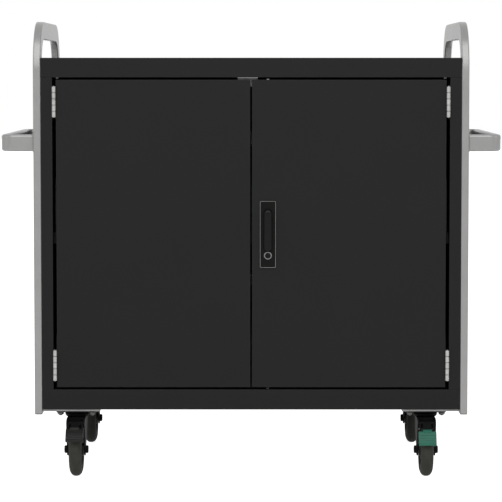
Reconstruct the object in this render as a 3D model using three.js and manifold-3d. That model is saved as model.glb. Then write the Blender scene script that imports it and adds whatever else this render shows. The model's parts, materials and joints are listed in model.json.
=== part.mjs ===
// Laptop charging cart: a two-door steel cabinet between two tube end frames, on four swivel casters.
// Millimetres, +Z up, origin on the floor under the middle of the cart.
// The doors face -Y, and +X is on the right of a person who faces them.

import * as THREE from 'three';
import { mergeVertices } from 'three/addons/utils/BufferGeometryUtils.js';
import Module from 'manifold-3d';

const wasm = await Module();
wasm.setup();

// Cabinet
const cabinetWidth = 989;
const cabinetDepth = 600;
const cabinetHeight = 831;
const sheet = 1.5;
const lidHeight = 46;
const lidLip = 15;
const baseHeight = 48;
const baseLip = 40;
const stileWidth = 27;
const stileDepth = 26;
const doorDepth = 24;
const doorLip = 14;
const doorEndGap = 5.4;
const doorCentreGap = 4;
const hingeGap = 8.5;
const runningGap = 0.3;

// Vents and rear wall
const ventLength = 120;
const ventHeight = 6;
const ventPitch = 18;
const ventRows = 7;
const ventTopDrop = 70;
const rearVentColumns = 4;
const rearVentPitch = 210;

// Inside
const shelfHeight = 369;
const shelfLip = 25;
const shelfSetback = 30;
const shelfRearGap = 60;
const rackSetback = 38;
const rackRearSetback = 87;
const rackSlots = 12;
const dividerHeight = 150;
const dividerThickness = 2.4;
const dividerNose = 60;
const rackSideClear = 1.5;
const rackMargin = 2;
const stripFromSide = 114.5;
const stripDepth = 47;
const stripHeight = 45;
const stripChamfer = 6;
const stripDrop = 133;
const inletWidth = 27;
const inletHeight = 22;
const inletDepth = 22;
const inletFlange = 9;
const inletFlangeThickness = 2.5;
const inletMouthDepth = 18;
const inletWall = 2;
const inletFromSide = 60;
const inletRise = 55;
const leadRadius = 3;
const leadBend = 24;

// End frames and push handles
const tubeWidth = 18;
const tubeDepth = 42;
const tubeWall = 2;
const tubeCorner = 5;
const frameRise = 86;
const frameBend = 115;
const legDrop = 5;
const handleReach = 77.5;
const handleBand = 40;
const handleCentreHeight = 793;
const handleBend = 27;

// Caster rails and casters
const railThickness = 5;
const railWidth = 137;
const railSetback = 8;
const casterFromSide = 78.5;
const casterFromFront = 69;
const casterFromBack = 61;
const casterTrail = 40;
const wheelRadius = 63.5;
const tyreWidth = 32;
const tyreThickness = 15.5;
const rimThickness = 8;
const rimInset = 3;
const webThickness = 10;
const treadRound = 7;
const hubRadius = 16;
const hubClear = 1;
const axleRadius = 5;
const axleHeadWidth = 17;
const axleHeadLength = 6.5;
const forkClear = 3;
const forkPlate = 3;
const crownRise = 10;
const forkBack = 28;
const forkFront = 44;
const forkEyeRadius = 15;
const raceRadius = 29;
const lowerRaceHeight = 7.2;
const upperRaceHeight = 5.5;
const topPlateWidth = 94;
const topPlateLength = 105;
const topPlateThickness = 4;
const kingpinRadius = 6;
const kingpinHeadRadius = 10;
const kingpinHeadHeight = 6;

// Brake pedals on the front casters. The left one is released, so it stands raised.
const pedalWidth = 42;
const pedalNeckWidth = 22;
const pedalThickness = 6;
const pedalClear = 8;
const pedalLowAngle = 15;
const pedalHighAngle = 42;
const pedalRaise = 12;
const pedalPivotForward = 28;
const pedalPivotClear = 2;
const pedalBarrelRadius = 5;
const pedalPinRadius = 2.5;
const pedalEar = 8;
const pedalNeckHeight = 9;
const pedalNeckLap = 4;

// Hinges
const hingeLength = 73;
const hingeInset = 15.5;
const knuckleRadius = 5;
const knuckleCount = 5;
const hingePinRadius = 2.5;
const knuckleSink = 1.5;
const leafThickness = 2;
const leafDepth = 24;
const pinOverhang = 1;

// Lock on the right door
const lockFromCentre = 39.5;
const lockCentreHeight = 578;
const lockWidth = 38;
const lockLength = 158;
const lockPlate = 3;
const lockRim = 1.2;
const lockRimWidth = 1.8;
const lockCorner = 3;
const lockBoxMargin = 4;
const lockBoxEndMargin = 11;
const lockBoxDepth = 10;
const leverWidth = 19;
const leverThickness = 12;
const leverKeyGap = 1.5;
const leverPivotDrop = 26;
const leverTip = 8;
const leverTongue = 6;
const leverPinRadius = 2;
const leverPinInset = 3;
const spindleRadius = 6;
const camRadius = 20;
const camThickness = 2.6;
const keyRise = 29;
const keyRadius = 9.5;
const keyProud = 3;
const keySlotWidth = 2;
const keySlotLength = 8;
const keySlotDepth = 4;
const rodRadius = 4.5;
const rodBoxClear = 0.5;
const rodTravel = 12;
const rodTipGap = 0.6;
const rodGuideWidth = 24;
const rodGuideLength = 16;
const rodGuideWall = 2;
const rodGuideFromLock = 30;
const strikeWidth = 47;
const strikeOffset = -8;
const strikeDrop = 22;
const strikeBehindDoor = 12;

// How finely round shapes are faceted
const tubeBendSteps = 5;
const noseSteps = 3;
const cornerSteps = 3;
const crownSteps = 8;
const shoulderSteps = 2;
const pedalSteps = 4;
const tyreSides = 20;
const coreSides = 14;
const roundSides = 16;
const smallSides = 10;
const hexSides = 6;
const hingeSides = 8;
const leadSides = 8;
const leadStep = 16;

// Levels and planes that several pieces share. A caster's parts stack up to its height.
const forkGap = tyreWidth + 2 * forkClear;
const forkHalf = forkGap / 2 + forkPlate;
const crownBottom = 2 * wheelRadius + crownRise;
const crownTop = crownBottom + forkPlate;
const upperRaceBottom = crownTop + lowerRaceHeight + runningGap;
const casterHeight = upperRaceBottom + upperRaceHeight + topPlateThickness;
const cabinetBottom = casterHeight + railThickness;
const cabinetTop = cabinetBottom + cabinetHeight;
const wallBottom = cabinetBottom + baseHeight;
const wallTop = cabinetTop - lidHeight;
const halfWidth = cabinetWidth / 2;
const front = -cabinetDepth / 2;
const back = cabinetDepth / 2;
const insideBack = back - 2 * sheet;
const legOuter = halfWidth + tubeWidth;
const frameTop = cabinetTop + frameRise;
const legBottom = casterHeight - legDrop;
const doorBottom = wallBottom + doorEndGap;
const doorTop = wallTop - doorEndGap;
const doorHingeEdge = halfWidth - stileWidth - hingeGap;
const hingeX = halfWidth - stileWidth - hingeGap / 2;
const hingeY = front - knuckleRadius + knuckleSink;
const shelfTop = wallBottom + shelfHeight;
const shelfBack = insideBack - shelfRearGap;
const stripHalf = halfWidth - stripFromSide;
const lockTop = lockCentreHeight + lockLength / 2;
const lockBottom = lockCentreHeight - lockLength / 2;
const leverPivotZ = lockTop - leverPivotDrop;
const keyZ = lockBottom + keyRise;
const rodY = front + lockBoxDepth + rodBoxClear + rodRadius;
const plateFront = front - lockPlate;
const leverBack = plateFront - lockRim - 2 * runningGap;
const leverPivotY = leverBack - leverThickness / 2;
const axleHeight = wheelRadius;
const pedalPivotHeight = axleHeight + wheelRadius + pedalPivotClear;

// A bore is drawn a little over its pin, so that flats of the bore clear corners of the pin.
const boreOver = (radius, sides) => (radius + runningGap / 2) / Math.cos(Math.PI / sides);

const finishes = {
  blackPaint: { color: 0x2b2b2b, roughness: 0.55, metalness: 0.1 },
  greyPaint: { color: 0x999999, roughness: 0.4, metalness: 0.3 },
  zinc: { color: 0xb4b4b2, roughness: 0.35, metalness: 0.8 },
  chrome: { color: 0xc8c8c8, roughness: 0.2, metalness: 1 },
  blackPlastic: { color: 0x202020, roughness: 0.6, metalness: 0 },
  rubber: { color: 0x383936, roughness: 0.8, metalness: 0 },
  tealPlastic: { color: 0x3c6959, roughness: 0.5, metalness: 0 },
};

const cart = new THREE.Group();

function addPart(parent, name, geometry, finish) {
  const mesh = new THREE.Mesh(geometry, new THREE.MeshStandardMaterial(finishes[finish]));
  mesh.name = name;
  parent.add(mesh);
}

// Solids for joining and cutting
function solidOf(geometry) {
  const bare = new THREE.BufferGeometry();
  bare.setAttribute('position', geometry.getAttribute('position').clone());
  bare.setIndex(geometry.getIndex());
  const merged = mergeVertices(bare);
  const vertProperties = new Float32Array(merged.getAttribute('position').array);
  const triVerts = new Uint32Array(merged.getIndex().array);
  return new wasm.Manifold(new wasm.Mesh({ numProp: 3, vertProperties, triVerts }));
}

function geometryOf(solid) {
  const mesh = solid.getMesh();
  const geometry = new THREE.BufferGeometry();
  geometry.setAttribute('position', new THREE.BufferAttribute(mesh.vertProperties, 3));
  geometry.setIndex(new THREE.BufferAttribute(mesh.triVerts, 1));
  return geometry;
}

function join(...geometries) {
  return geometryOf(geometries.map(solidOf).reduce((all, next) => all.add(next)));
}

function cut(geometry, ...tools) {
  return geometryOf(tools.map(solidOf).reduce((left, tool) => left.subtract(tool), solidOf(geometry)));
}

function common(first, second) {
  return geometryOf(solidOf(first).intersect(solidOf(second)));
}

// Basic shapes, each placed by the ranges that it spans. A range may be given in either order.
function block(xRange, yRange, zRange) {
  const ranges = [xRange, yRange, zRange];
  const sizes = ranges.map(([from, to]) => Math.abs(to - from));
  const middles = ranges.map(([from, to]) => (from + to) / 2);
  return new THREE.BoxGeometry(...sizes).translate(...middles);
}

// The outline's own axes, then the direction of the extrusion.
const outlineAxes = {
  x: [new THREE.Vector3(0, 1, 0), new THREE.Vector3(0, 0, 1), new THREE.Vector3(1, 0, 0)],
  y: [new THREE.Vector3(0, 0, 1), new THREE.Vector3(1, 0, 0), new THREE.Vector3(0, 1, 0)],
  z: [new THREE.Vector3(1, 0, 0), new THREE.Vector3(0, 1, 0), new THREE.Vector3(0, 0, 1)],
};

// A shape extruded along x, y or z, from an outline in (y, z), (z, x) or (x, y).
// A round over softens its edges.
function extrude(shape, axis, [from, to], curveSegments = tubeBendSteps, roundOver = 0) {
  const start = Math.min(from, to);
  const options = {
    depth: Math.abs(to - from) - 2 * roundOver,
    curveSegments,
    bevelEnabled: roundOver > 0,
    bevelThickness: roundOver,
    bevelSize: roundOver,
    bevelOffset: -roundOver,
    bevelSegments: 1,
  };
  const geometry = new THREE.ExtrudeGeometry(shape, options).translate(0, 0, start + roundOver);
  return geometry.applyMatrix4(new THREE.Matrix4().makeBasis(...outlineAxes[axis]));
}

function polygon(points) {
  return new THREE.Shape(points.map(([u, v]) => new THREE.Vector2(u, v)));
}

function rectangle([left, right], [bottom, top]) {
  const corners = [
    [left, bottom],
    [right, bottom],
    [right, top],
    [left, top],
  ];
  return polygon(corners);
}

function circlePoints(u, v, radius, sides) {
  const step = (2 * Math.PI) / sides;
  const angles = Array.from({ length: sides }, (_, i) => (i + 0.5) * step);
  return angles.map((angle) => [u + radius * Math.cos(angle), v + radius * Math.sin(angle)]);
}

function rod(axis, [u, v], radius, range, sides = roundSides) {
  return extrude(polygon(circlePoints(u, v, radius, sides)), axis, range);
}

function roundedBox([u, v], width, height, corner) {
  const shape = new THREE.Shape();
  const right = u + width / 2;
  const top = v + height / 2;
  const left = u - width / 2;
  const bottom = v - height / 2;
  shape.moveTo(left + corner, bottom);
  shape.lineTo(right - corner, bottom);
  shape.absarc(right - corner, bottom + corner, corner, -Math.PI / 2, 0);
  shape.absarc(right - corner, top - corner, corner, 0, Math.PI / 2);
  shape.absarc(left + corner, top - corner, corner, Math.PI / 2, Math.PI);
  shape.absarc(left + corner, bottom + corner, corner, Math.PI, 1.5 * Math.PI);
  return shape;
}

// An inverted U of band thickness, standing on v = bottom, with rounded shoulders.
function archOutline([left, right], [bottom, top], band, bend) {
  const shape = new THREE.Shape();
  const shoulder = top - bend;
  shape.moveTo(left, bottom);
  shape.lineTo(left + band, bottom);
  shape.absarc(left + bend, shoulder, bend - band, Math.PI, Math.PI / 2, true);
  shape.absarc(right - bend, shoulder, bend - band, Math.PI / 2, 0, true);
  shape.lineTo(right - band, bottom);
  shape.lineTo(right, bottom);
  shape.absarc(right - bend, shoulder, bend, 0, Math.PI / 2);
  shape.absarc(left + bend, shoulder, bend, Math.PI / 2, Math.PI);
  return shape;
}

// A ring turned about the x axis from one half of its (radius, x) outline, from the bore outwards.
// It has a flat at its lowest point.
function turned(half, sides) {
  const mirrored = half.map(([radius, x]) => [radius, -x]);
  const outline = [...mirrored, ...half.toReversed(), mirrored[0]];
  const points = outline.map(([radius, x]) => new THREE.Vector2(radius, x));
  return new THREE.LatheGeometry(points, sides, Math.PI / sides).rotateZ(-Math.PI / 2);
}

// An open box of sheet with an inward lip round its mouth. The mouth faces up or down the given axis.
function pan(xRange, yRange, zRange, axis, mouthSign, lip) {
  const sorted = ([from, to]) => [Math.min(from, to), Math.max(from, to)];
  const ranges = [xRange, yRange, zRange].map(sorted);
  const inset = (amount) => ranges.map(([from, to]) => [from + amount, to - amount]);
  const mouth = inset(sheet + lip);
  const rim = ranges[axis][mouthSign > 0 ? 1 : 0];
  mouth[axis] = [rim - mouthSign * 2 * sheet, rim + mouthSign * sheet];
  return cut(block(...ranges), block(...inset(sheet)), block(...mouth));
}

// A column of vent slots, centred on u, as cutting blocks through a wall across the given axis.
function ventCutters(axis, u, wallRange) {
  const lengthRange = [u - ventLength / 2, u + ventLength / 2];
  const through = [Math.min(...wallRange) - sheet, Math.max(...wallRange) + sheet];
  return Array.from({ length: ventRows }, (_, row) => {
    const top = wallTop - ventTopDrop - row * ventPitch;
    const zRange = [top - ventHeight, top];
    return axis === 'x' ? block(through, lengthRange, zRange) : block(lengthRange, through, zRange);
  });
}

function addSidePanel(name, side) {
  const outer = halfWidth;
  const inner = halfWidth - sheet;
  const edge = halfWidth - stileWidth;
  const outline = [
    [outer, front],
    [outer, back],
    [edge, back],
    [edge, back - sheet],
    [inner, back - sheet],
    [inner, front + sheet],
    [edge + sheet, front + sheet],
    [edge + sheet, front + stileDepth],
    [edge, front + stileDepth],
    [edge, front],
  ].map(([x, y]) => [side * x, y]);
  const panel = extrude(polygon(outline), 'z', [wallBottom, wallTop]);
  const vents = ventCutters('x', 0, [side * inner, side * outer]);
  addPart(cart, name, cut(panel, ...vents), 'blackPaint');
}

function addShell() {
  const across = [-halfWidth, halfWidth];
  const along = [front, back];
  addSidePanel('left_side_panel', -1);
  addSidePanel('right_side_panel', 1);
  addPart(cart, 'top_panel', pan(across, along, [wallTop, cabinetTop], 2, -1, lidLip), 'blackPaint');
  addPart(cart, 'base_pan', pan(across, along, [cabinetBottom, wallBottom], 2, -1, baseLip), 'blackPaint');

  const rearEdge = halfWidth - sheet;
  const rear = block([-rearEdge, rearEdge], [insideBack, insideBack + sheet], [wallBottom, wallTop]);
  const columns = Array.from({ length: rearVentColumns }, (_, i) => i - (rearVentColumns - 1) / 2);
  const vents = columns.flatMap((c) => ventCutters('y', c * rearVentPitch, [insideBack, back]));
  const [inletX, inletZ] = inletCentre();
  const mouth = block(
    [inletX - inletWidth / 2 - runningGap, inletX + inletWidth / 2 + runningGap],
    [insideBack - sheet, back],
    [inletZ - inletHeight / 2 - runningGap, inletZ + inletHeight / 2 + runningGap],
  );
  addPart(cart, 'rear_panel', cut(rear, mouth, ...vents), 'blackPaint');
}

function addShelf() {
  const edge = halfWidth - sheet;
  const shelfFront = front + shelfSetback;
  const outline = [
    [shelfFront, shelfTop],
    [shelfFront, shelfTop - shelfLip],
    [shelfFront + sheet, shelfTop - shelfLip],
    [shelfFront + sheet, shelfTop - sheet],
    [shelfBack - sheet, shelfTop - sheet],
    [shelfBack - sheet, shelfTop - shelfLip],
    [shelfBack, shelfTop - shelfLip],
    [shelfBack, shelfTop],
  ];
  addPart(cart, 'middle_shelf', extrude(polygon(outline), 'x', [-edge, edge]), 'blackPaint');
}

// A row of upright dividers on one base sheet. Each divider has a rounded upper front corner.
function addRack(name, floor) {
  const reach = halfWidth - stileWidth - rackSideClear;
  const rackFront = front + rackSetback;
  const rackBack = shelfBack - rackRearSetback;
  const top = floor + dividerHeight;
  const root = floor + sheet / 2;
  const outline = new THREE.Shape();
  outline.moveTo(rackFront + rackMargin, root);
  outline.lineTo(rackBack - rackMargin, root);
  outline.lineTo(rackBack - rackMargin, top);
  const noseY = rackFront + rackMargin + dividerNose;
  outline.absarc(noseY, top - dividerNose, dividerNose, Math.PI / 2, Math.PI);
  const pitch = (2 * (reach - rackMargin) - dividerThickness) / rackSlots;
  const dividers = Array.from({ length: rackSlots + 1 }, (_, i) => {
    const left = -reach + rackMargin + i * pitch;
    return extrude(outline, 'x', [left, left + dividerThickness], noseSteps);
  });
  const base = block([-reach, reach], [rackFront, rackBack], [floor, floor + sheet]);
  addPart(cart, name, join(base, ...dividers), 'blackPlastic');
}

// Each strip hangs below the ceiling of its tier.
const stripBottoms = {
  lower: shelfTop - stripDrop - stripHeight,
  upper: wallTop - stripDrop - stripHeight,
};

function addPowerStrip(name, bottom) {
  const top = bottom + stripHeight;
  const face = insideBack - stripDepth;
  const outline = [
    [insideBack, bottom],
    [insideBack, top],
    [face + stripChamfer, top],
    [face, top - stripChamfer],
    [face, bottom + stripChamfer],
    [face + stripChamfer, bottom],
  ];
  addPart(cart, name, extrude(polygon(outline), 'x', [-stripHalf, stripHalf]), 'greyPaint');
}

function inletCentre() {
  return [halfWidth - inletFromSide, wallBottom + inletRise];
}

// A recessed mains inlet in the rear panel, with its flange on the outside.
function addInlet() {
  const [x, z] = inletCentre();
  const spread = (half) => [
    [x - half - inletWidth / 2, x + half + inletWidth / 2],
    [z - half - inletHeight / 2, z + half + inletHeight / 2],
  ];
  const [bodyX, bodyZ] = spread(0);
  const [flangeX, flangeZ] = spread(inletFlange);
  const [mouthX, mouthZ] = spread(-inletWall);
  const outside = back - sheet;
  const flangeFace = outside + inletFlangeThickness;
  const body = block(bodyX, [outside - inletDepth, flangeFace], bodyZ);
  const flange = block(flangeX, [outside, flangeFace], flangeZ);
  const mouth = block(mouthX, [flangeFace - inletMouthDepth, flangeFace + sheet], mouthZ);
  addPart(cart, 'power_inlet', cut(join(body, flange), mouth), 'blackPlastic');
}

// The lead from the inlet up the rear corner to the end of the upper strip, with a branch to the lower one.
function addHarness() {
  const [x, inletZ] = inletCentre();
  const start = back - sheet - inletDepth - runningGap;
  const riserY = start - 2 * leadRadius - leadBend;
  const stripY = insideBack - stripDepth / 2;
  const stripEnd = stripHalf + runningGap;
  const point = (px, py, pz) => new THREE.Vector3(px, py, pz);
  const intoStrip = (bottom) => {
    const z = bottom + stripHeight / 2;
    const rise = point(x, riserY, z - 2 * leadBend);
    const over = point(x, riserY, z);
    const along = point(stripEnd + leadBend, stripY, z);
    const end = point(stripEnd, stripY, z);
    return { rise, curve: new THREE.CubicBezierCurve3(rise, over, along, end) };
  };
  const upper = intoStrip(stripBottoms.upper);
  const lower = intoStrip(stripBottoms.lower);
  const exit = point(x, start - 2 * leadRadius, inletZ);
  const bendEnd = point(x, riserY, inletZ + leadBend);
  const main = new THREE.CurvePath();
  main.add(new THREE.LineCurve3(point(x, start, inletZ), exit));
  main.add(new THREE.QuadraticBezierCurve3(exit, point(x, riserY, inletZ), bendEnd));
  main.add(new THREE.LineCurve3(bendEnd, upper.rise));
  main.add(upper.curve);
  const branch = new THREE.CurvePath();
  branch.add(new THREE.LineCurve3(lower.rise.clone().setZ(lower.rise.z - leadBend), lower.rise));
  branch.add(lower.curve);
  addPart(cart, 'wiring_harness', join(lead(main), lead(branch)), 'blackPlastic');
}

function lead(path) {
  const section = polygon(circlePoints(0, 0, leadRadius, leadSides));
  const steps = Math.round(path.getLength() / leadStep);
  return new THREE.ExtrudeGeometry(section, { extrudePath: path, steps, bevelEnabled: false });
}

// A bent tube of flat oval section, hollow, with square open ends at the foot of its outline.
function bentTube(span, [foot, crown], band, bend, axis, thickness) {
  const spare = 2 * tubeCorner;
  const [left, right] = span;
  const [low, high] = [Math.min(...thickness), Math.max(...thickness)];
  const outer = archOutline(span, [foot - spare, crown], band, bend);
  const inner = archOutline(
    [left + tubeWall, right - tubeWall],
    [foot - 2 * spare, crown - tubeWall],
    band - 2 * tubeWall,
    bend - tubeWall,
  );
  const solid = extrude(outer, axis, [low, high], tubeBendSteps, tubeCorner);
  const boreRange = [low + tubeWall, high - tubeWall];
  const bore = extrude(inner, axis, boreRange, tubeBendSteps, tubeCorner - tubeWall);
  const below = rectangle([left - spare, right + spare], [foot - 2 * spare, foot]);
  const offcut = extrude(below, axis, [low - spare, high + spare]);
  return cut(solid, bore, offcut);
}

function addEndFrame(name, side) {
  const legs = [front, back];
  const xRange = [side * halfWidth, side * legOuter];
  const tube = bentTube(legs, [legBottom, frameTop], tubeDepth, frameBend, 'x', xRange);
  addPart(cart, name, tube, 'greyPaint');
}

// The push handle is drawn as an arch that grows away from the leg, then laid on its side.
function addPushHandle(name, side) {
  const armY = (cabinetDepth - tubeDepth + tubeWidth) / 2;
  const zRange = [handleCentreHeight - handleBand / 2, handleCentreHeight + handleBand / 2];
  const reach = [legOuter, legOuter + handleReach];
  const tube = bentTube([-armY, armY], reach, tubeWidth, handleBend, 'z', zRange);
  addPart(cart, name, tube.rotateZ(-side * Math.PI / 2), 'greyPaint');
}

function addRail(name, side) {
  const across = [side * halfWidth, side * (halfWidth - railWidth)];
  const along = [front + railSetback, back - railSetback];
  addPart(cart, name, block(across, along, [casterHeight, cabinetBottom]), 'greyPaint');
}

function addStrike() {
  const across = [strikeOffset - strikeWidth / 2, strikeOffset + strikeWidth / 2];
  const strikeBack = front + doorDepth + strikeBehindDoor;
  const foot = block(across, [front + sheet, strikeBack], [wallTop - sheet, wallTop]);
  const tab = block(across, [strikeBack - sheet, strikeBack], [wallTop - strikeDrop, wallTop]);
  addPart(cart, 'strike_bracket', join(foot, tab), 'greyPaint');
}

// One leaf of a knuckle hinge. It owns every second knuckle, and is notched clear of the others.
// The pin is staked in the frame's leaf and runs in the door's.
function hingeLeaf(side, away, bottom, firstKnuckle) {
  const at = [side * hingeX, hingeY];
  const knuckle = hingeLength / knuckleCount;
  const reach = [hingeGap / 2 - leafThickness, hingeGap / 2];
  const plateX = reach.map((dx) => side * hingeX + away * dx);
  const notch = hingeY + knuckleRadius + runningGap;
  const root = hingeY + hingePinRadius;
  const plate = block(plateX, [notch, front + leafDepth], [bottom, bottom + hingeLength]);
  const owned = [];
  for (let k = firstKnuckle; k < knuckleCount; k += 2) {
    const low = bottom + k * knuckle;
    const zRange = [low + runningGap / 2, low + knuckle - runningGap / 2];
    owned.push(rod('z', at, knuckleRadius, zRange, hingeSides));
    owned.push(block(plateX, [root, notch + leafThickness], zRange));
  }
  return join(plate, ...owned);
}

function addHinge(label, side, bottom) {
  const at = [side * hingeX, hingeY];
  const pinRange = [bottom - pinOverhang, bottom + hingeLength + pinOverhang];
  const boreRadius = boreOver(hingePinRadius, hingeSides);
  const pin = rod('z', at, hingePinRadius, pinRange, hingeSides);
  const bore = rod('z', at, boreRadius, pinRange, hingeSides);
  addPart(cart, `${label}_hinge_frame_leaf`, join(hingeLeaf(side, side, bottom, 0), pin), 'zinc');
  addPart(cart, `${label}_hinge_door_leaf`, cut(hingeLeaf(side, -side, bottom, 1), bore), 'zinc');
}

function doorPan(side) {
  const xRange = [side * doorCentreGap / 2, side * doorHingeEdge];
  return pan(xRange, [front, front + doorDepth], [doorBottom, doorTop], 1, 1, doorLip);
}

// The lock's body behind its plate, grown by a clearance for the door's window.
function lockBox(yRange, clearance) {
  const half = lockWidth / 2 - lockBoxMargin + clearance;
  const halfLength = lockLength / 2 - lockBoxEndMargin + clearance;
  const xRange = [lockFromCentre - half, lockFromCentre + half];
  return block(xRange, yRange, [lockCentreHeight - halfLength, lockCentreHeight + halfLength]);
}

function addDoors() {
  addPart(cart, 'left_door', doorPan(-1), 'blackPaint');
  const window = lockBox([front - sheet, front + 2 * sheet], runningGap);
  const rodWayRange = [doorBottom - sheet, doorTop + sheet];
  const rodWay = rod('z', [lockFromCentre, rodY], boreOver(rodRadius, smallSides), rodWayRange, smallSides);
  addPart(cart, 'right_door', cut(doorPan(1), window, rodWay), 'blackPaint');
}

// Lock outlines are in (z, x), the plane of the door.
function lockOutline(inset) {
  const centre = [lockCentreHeight, lockFromCentre];
  return roundedBox(centre, lockLength - 2 * inset, lockWidth - 2 * inset, lockCorner - inset);
}

function addEscutcheon() {
  const plate = extrude(lockOutline(0), 'y', [plateFront - lockRim, front], cornerSteps);
  const dish = extrude(lockOutline(lockRimWidth), 'y', [plateFront - 2 * lockRim, plateFront], cornerSteps);
  const box = lockBox([plateFront + lockPlate / 2, front + lockBoxDepth], 0);
  const through = [plateFront - lockPlate, front + lockBoxDepth + lockPlate];
  const spindleBore = rod('y', [leverPivotZ, lockFromCentre], boreOver(spindleRadius, roundSides), through);
  const keyBore = rod('y', [keyZ, lockFromCentre], boreOver(keyRadius, roundSides), through);
  addPart(cart, 'lock_escutcheon', cut(join(cut(plate, dish), box), spindleBore, keyBore), 'blackPlastic');
}

// The lever hangs from a cross pin at its upper end, where a slot takes the spindle's tongue.
function addLever() {
  const half = leverThickness / 2;
  const leverFront = leverBack - leverThickness;
  const head = leverPivotZ + half;
  const foot = keyZ + keyRadius + leverKeyGap;
  const face = roundedBox([(foot + head) / 2, lockFromCentre], head - foot, leverWidth, half);
  const side = new THREE.Shape();
  side.moveTo(leverBack, leverPivotZ);
  side.absarc(leverPivotY, leverPivotZ, half, 0, Math.PI);
  side.lineTo(leverBack - leverTip, foot);
  side.lineTo(leverBack, foot);
  const across = (reach) => [lockFromCentre - reach, lockFromCentre + reach];
  const faceOn = extrude(face, 'y', [leverFront, leverBack], cornerSteps);
  const sideOn = extrude(side, 'x', across(leverWidth / 2), crownSteps);
  const slot = block(
    across(leverTongue / 2 + runningGap),
    [leverFront - half, leverBack + half],
    [leverPivotZ - leverTongue - half, leverPivotZ + leverThickness],
  );
  const bar = cut(common(faceOn, sideOn), slot);
  const pinRange = across(leverWidth / 2 - leverPinInset);
  const pin = rod('x', [leverPivotY, leverPivotZ], leverPinRadius, pinRange, smallSides);
  addPart(cart, 'lock_lever', join(bar, pin), 'blackPlastic');
}

function addSpindle() {
  const camFront = rodY + rodRadius + runningGap;
  const camBack = camFront + camThickness;
  const half = leverTongue / 2;
  const tongueX = [lockFromCentre - half, lockFromCentre + half];
  const eyeRadius = leverThickness / 2 - 2 * runningGap;
  const shaftFront = leverBack + runningGap;
  const shaftAt = [leverPivotZ, lockFromCentre];
  const pivotAt = [leverPivotY, leverPivotZ];
  const shaft = rod('y', shaftAt, spindleRadius, [shaftFront, camBack]);
  const disc = rod('y', shaftAt, camRadius, [camFront, camBack]);
  const camBoreRange = [camFront - sheet, camBack + sheet];
  const camBore = rod('y', shaftAt, boreOver(spindleRadius, roundSides), camBoreRange);
  const eye = rod('x', pivotAt, eyeRadius, tongueX, smallSides);
  const neck = block(tongueX, [leverPivotY, shaftFront + sheet], [leverPivotZ - half, leverPivotZ + half]);
  const boreRange = [lockFromCentre - leverTongue, lockFromCentre + leverTongue];
  const pinBore = rod('x', pivotAt, boreOver(leverPinRadius, smallSides), boreRange, smallSides);
  addPart(cart, 'lock_spindle', cut(join(shaft, eye, neck), pinBore), 'zinc');
  addPart(cart, 'lock_cam', cut(disc, camBore), 'zinc');
}

function addKeyCylinder() {
  const face = plateFront - keyProud;
  const plug = rod('y', [keyZ, lockFromCentre], keyRadius, [face, front + lockBoxDepth - sheet]);
  const slot = block(
    [lockFromCentre - keySlotWidth / 2, lockFromCentre + keySlotWidth / 2],
    [face - sheet, face + keySlotDepth],
    [keyZ - keySlotLength / 2, keyZ + keySlotLength / 2],
  );
  addPart(cart, 'key_cylinder', cut(plug, slot), 'chrome');
}

// Each rod ends clear of the spindle when it is drawn in, and its tip stands in the gap beyond the door.
function addRods() {
  const clear = spindleRadius + rodTravel + 2 * runningGap;
  const at = [lockFromCentre, rodY];
  const upper = rod('z', at, rodRadius, [leverPivotZ + clear, wallTop - sheet - rodTipGap], smallSides);
  const lower = rod('z', at, rodRadius, [wallBottom + rodTipGap, leverPivotZ - clear], smallSides);
  addPart(cart, 'upper_lock_rod', upper, 'zinc');
  addPart(cart, 'lower_lock_rod', lower, 'zinc');
}

// A block on the door's inner face, which a rod slides through.
function addRodGuide(name, bottom) {
  const xRange = [lockFromCentre - rodGuideWidth / 2, lockFromCentre + rodGuideWidth / 2];
  const top = bottom + rodGuideLength;
  const body = block(xRange, [front + sheet, rodY + rodRadius + rodGuideWall], [bottom, top]);
  const boreRange = [bottom - sheet, top + sheet];
  const bore = rod('z', [lockFromCentre, rodY], boreOver(rodRadius, smallSides), boreRange, smallSides);
  addPart(cart, name, cut(body, bore), 'blackPlastic');
}

// A range of the given size about zero. Caster pieces are drawn about the kingpin, trailing towards -Y.
const about = (size) => [-size / 2, size / 2];

function casterPlate() {
  const plateBottom = casterHeight - topPlateThickness;
  const plate = block(about(topPlateWidth), about(topPlateLength), [plateBottom, casterHeight]);
  const race = rod('z', [0, 0], raceRadius, [upperRaceBottom, plateBottom + topPlateThickness / 2]);
  const headTop = crownBottom - runningGap;
  const headBottom = headTop - kingpinHeadHeight;
  const pin = rod('z', [0, 0], kingpinRadius, [headBottom, plateBottom], smallSides);
  const head = rod('z', [0, 0], kingpinHeadRadius, [headBottom, headTop], hexSides);
  return join(plate, race, pin, head);
}

function forkLeg(side, braked) {
  const outline = new THREE.Shape();
  const noseFront = -casterTrail - (braked ? pedalPivotForward + pedalEar : forkFront - casterTrail);
  const noseBottom = braked ? pedalPivotHeight - pedalEar : crownBottom - forkPlate;
  outline.moveTo(forkBack, crownTop);
  outline.lineTo(noseFront, crownTop);
  outline.lineTo(noseFront, noseBottom);
  outline.lineTo(-casterTrail - forkEyeRadius, axleHeight);
  outline.absarc(-casterTrail, axleHeight, forkEyeRadius, Math.PI, 2 * Math.PI);
  outline.lineTo(forkBack, crownBottom - forkPlate);
  const bore = (u, v, radius) => {
    const points = circlePoints(u, v, boreOver(radius, smallSides), smallSides);
    outline.holes.push(new THREE.Path(points.map(([y, z]) => new THREE.Vector2(y, z))));
  };
  bore(-casterTrail, axleHeight, axleRadius);
  if (braked) {
    bore(-casterTrail - pedalPivotForward, pedalPivotHeight, pedalPinRadius);
  }
  return extrude(outline, 'x', [side * forkGap / 2, side * forkHalf]);
}

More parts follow.
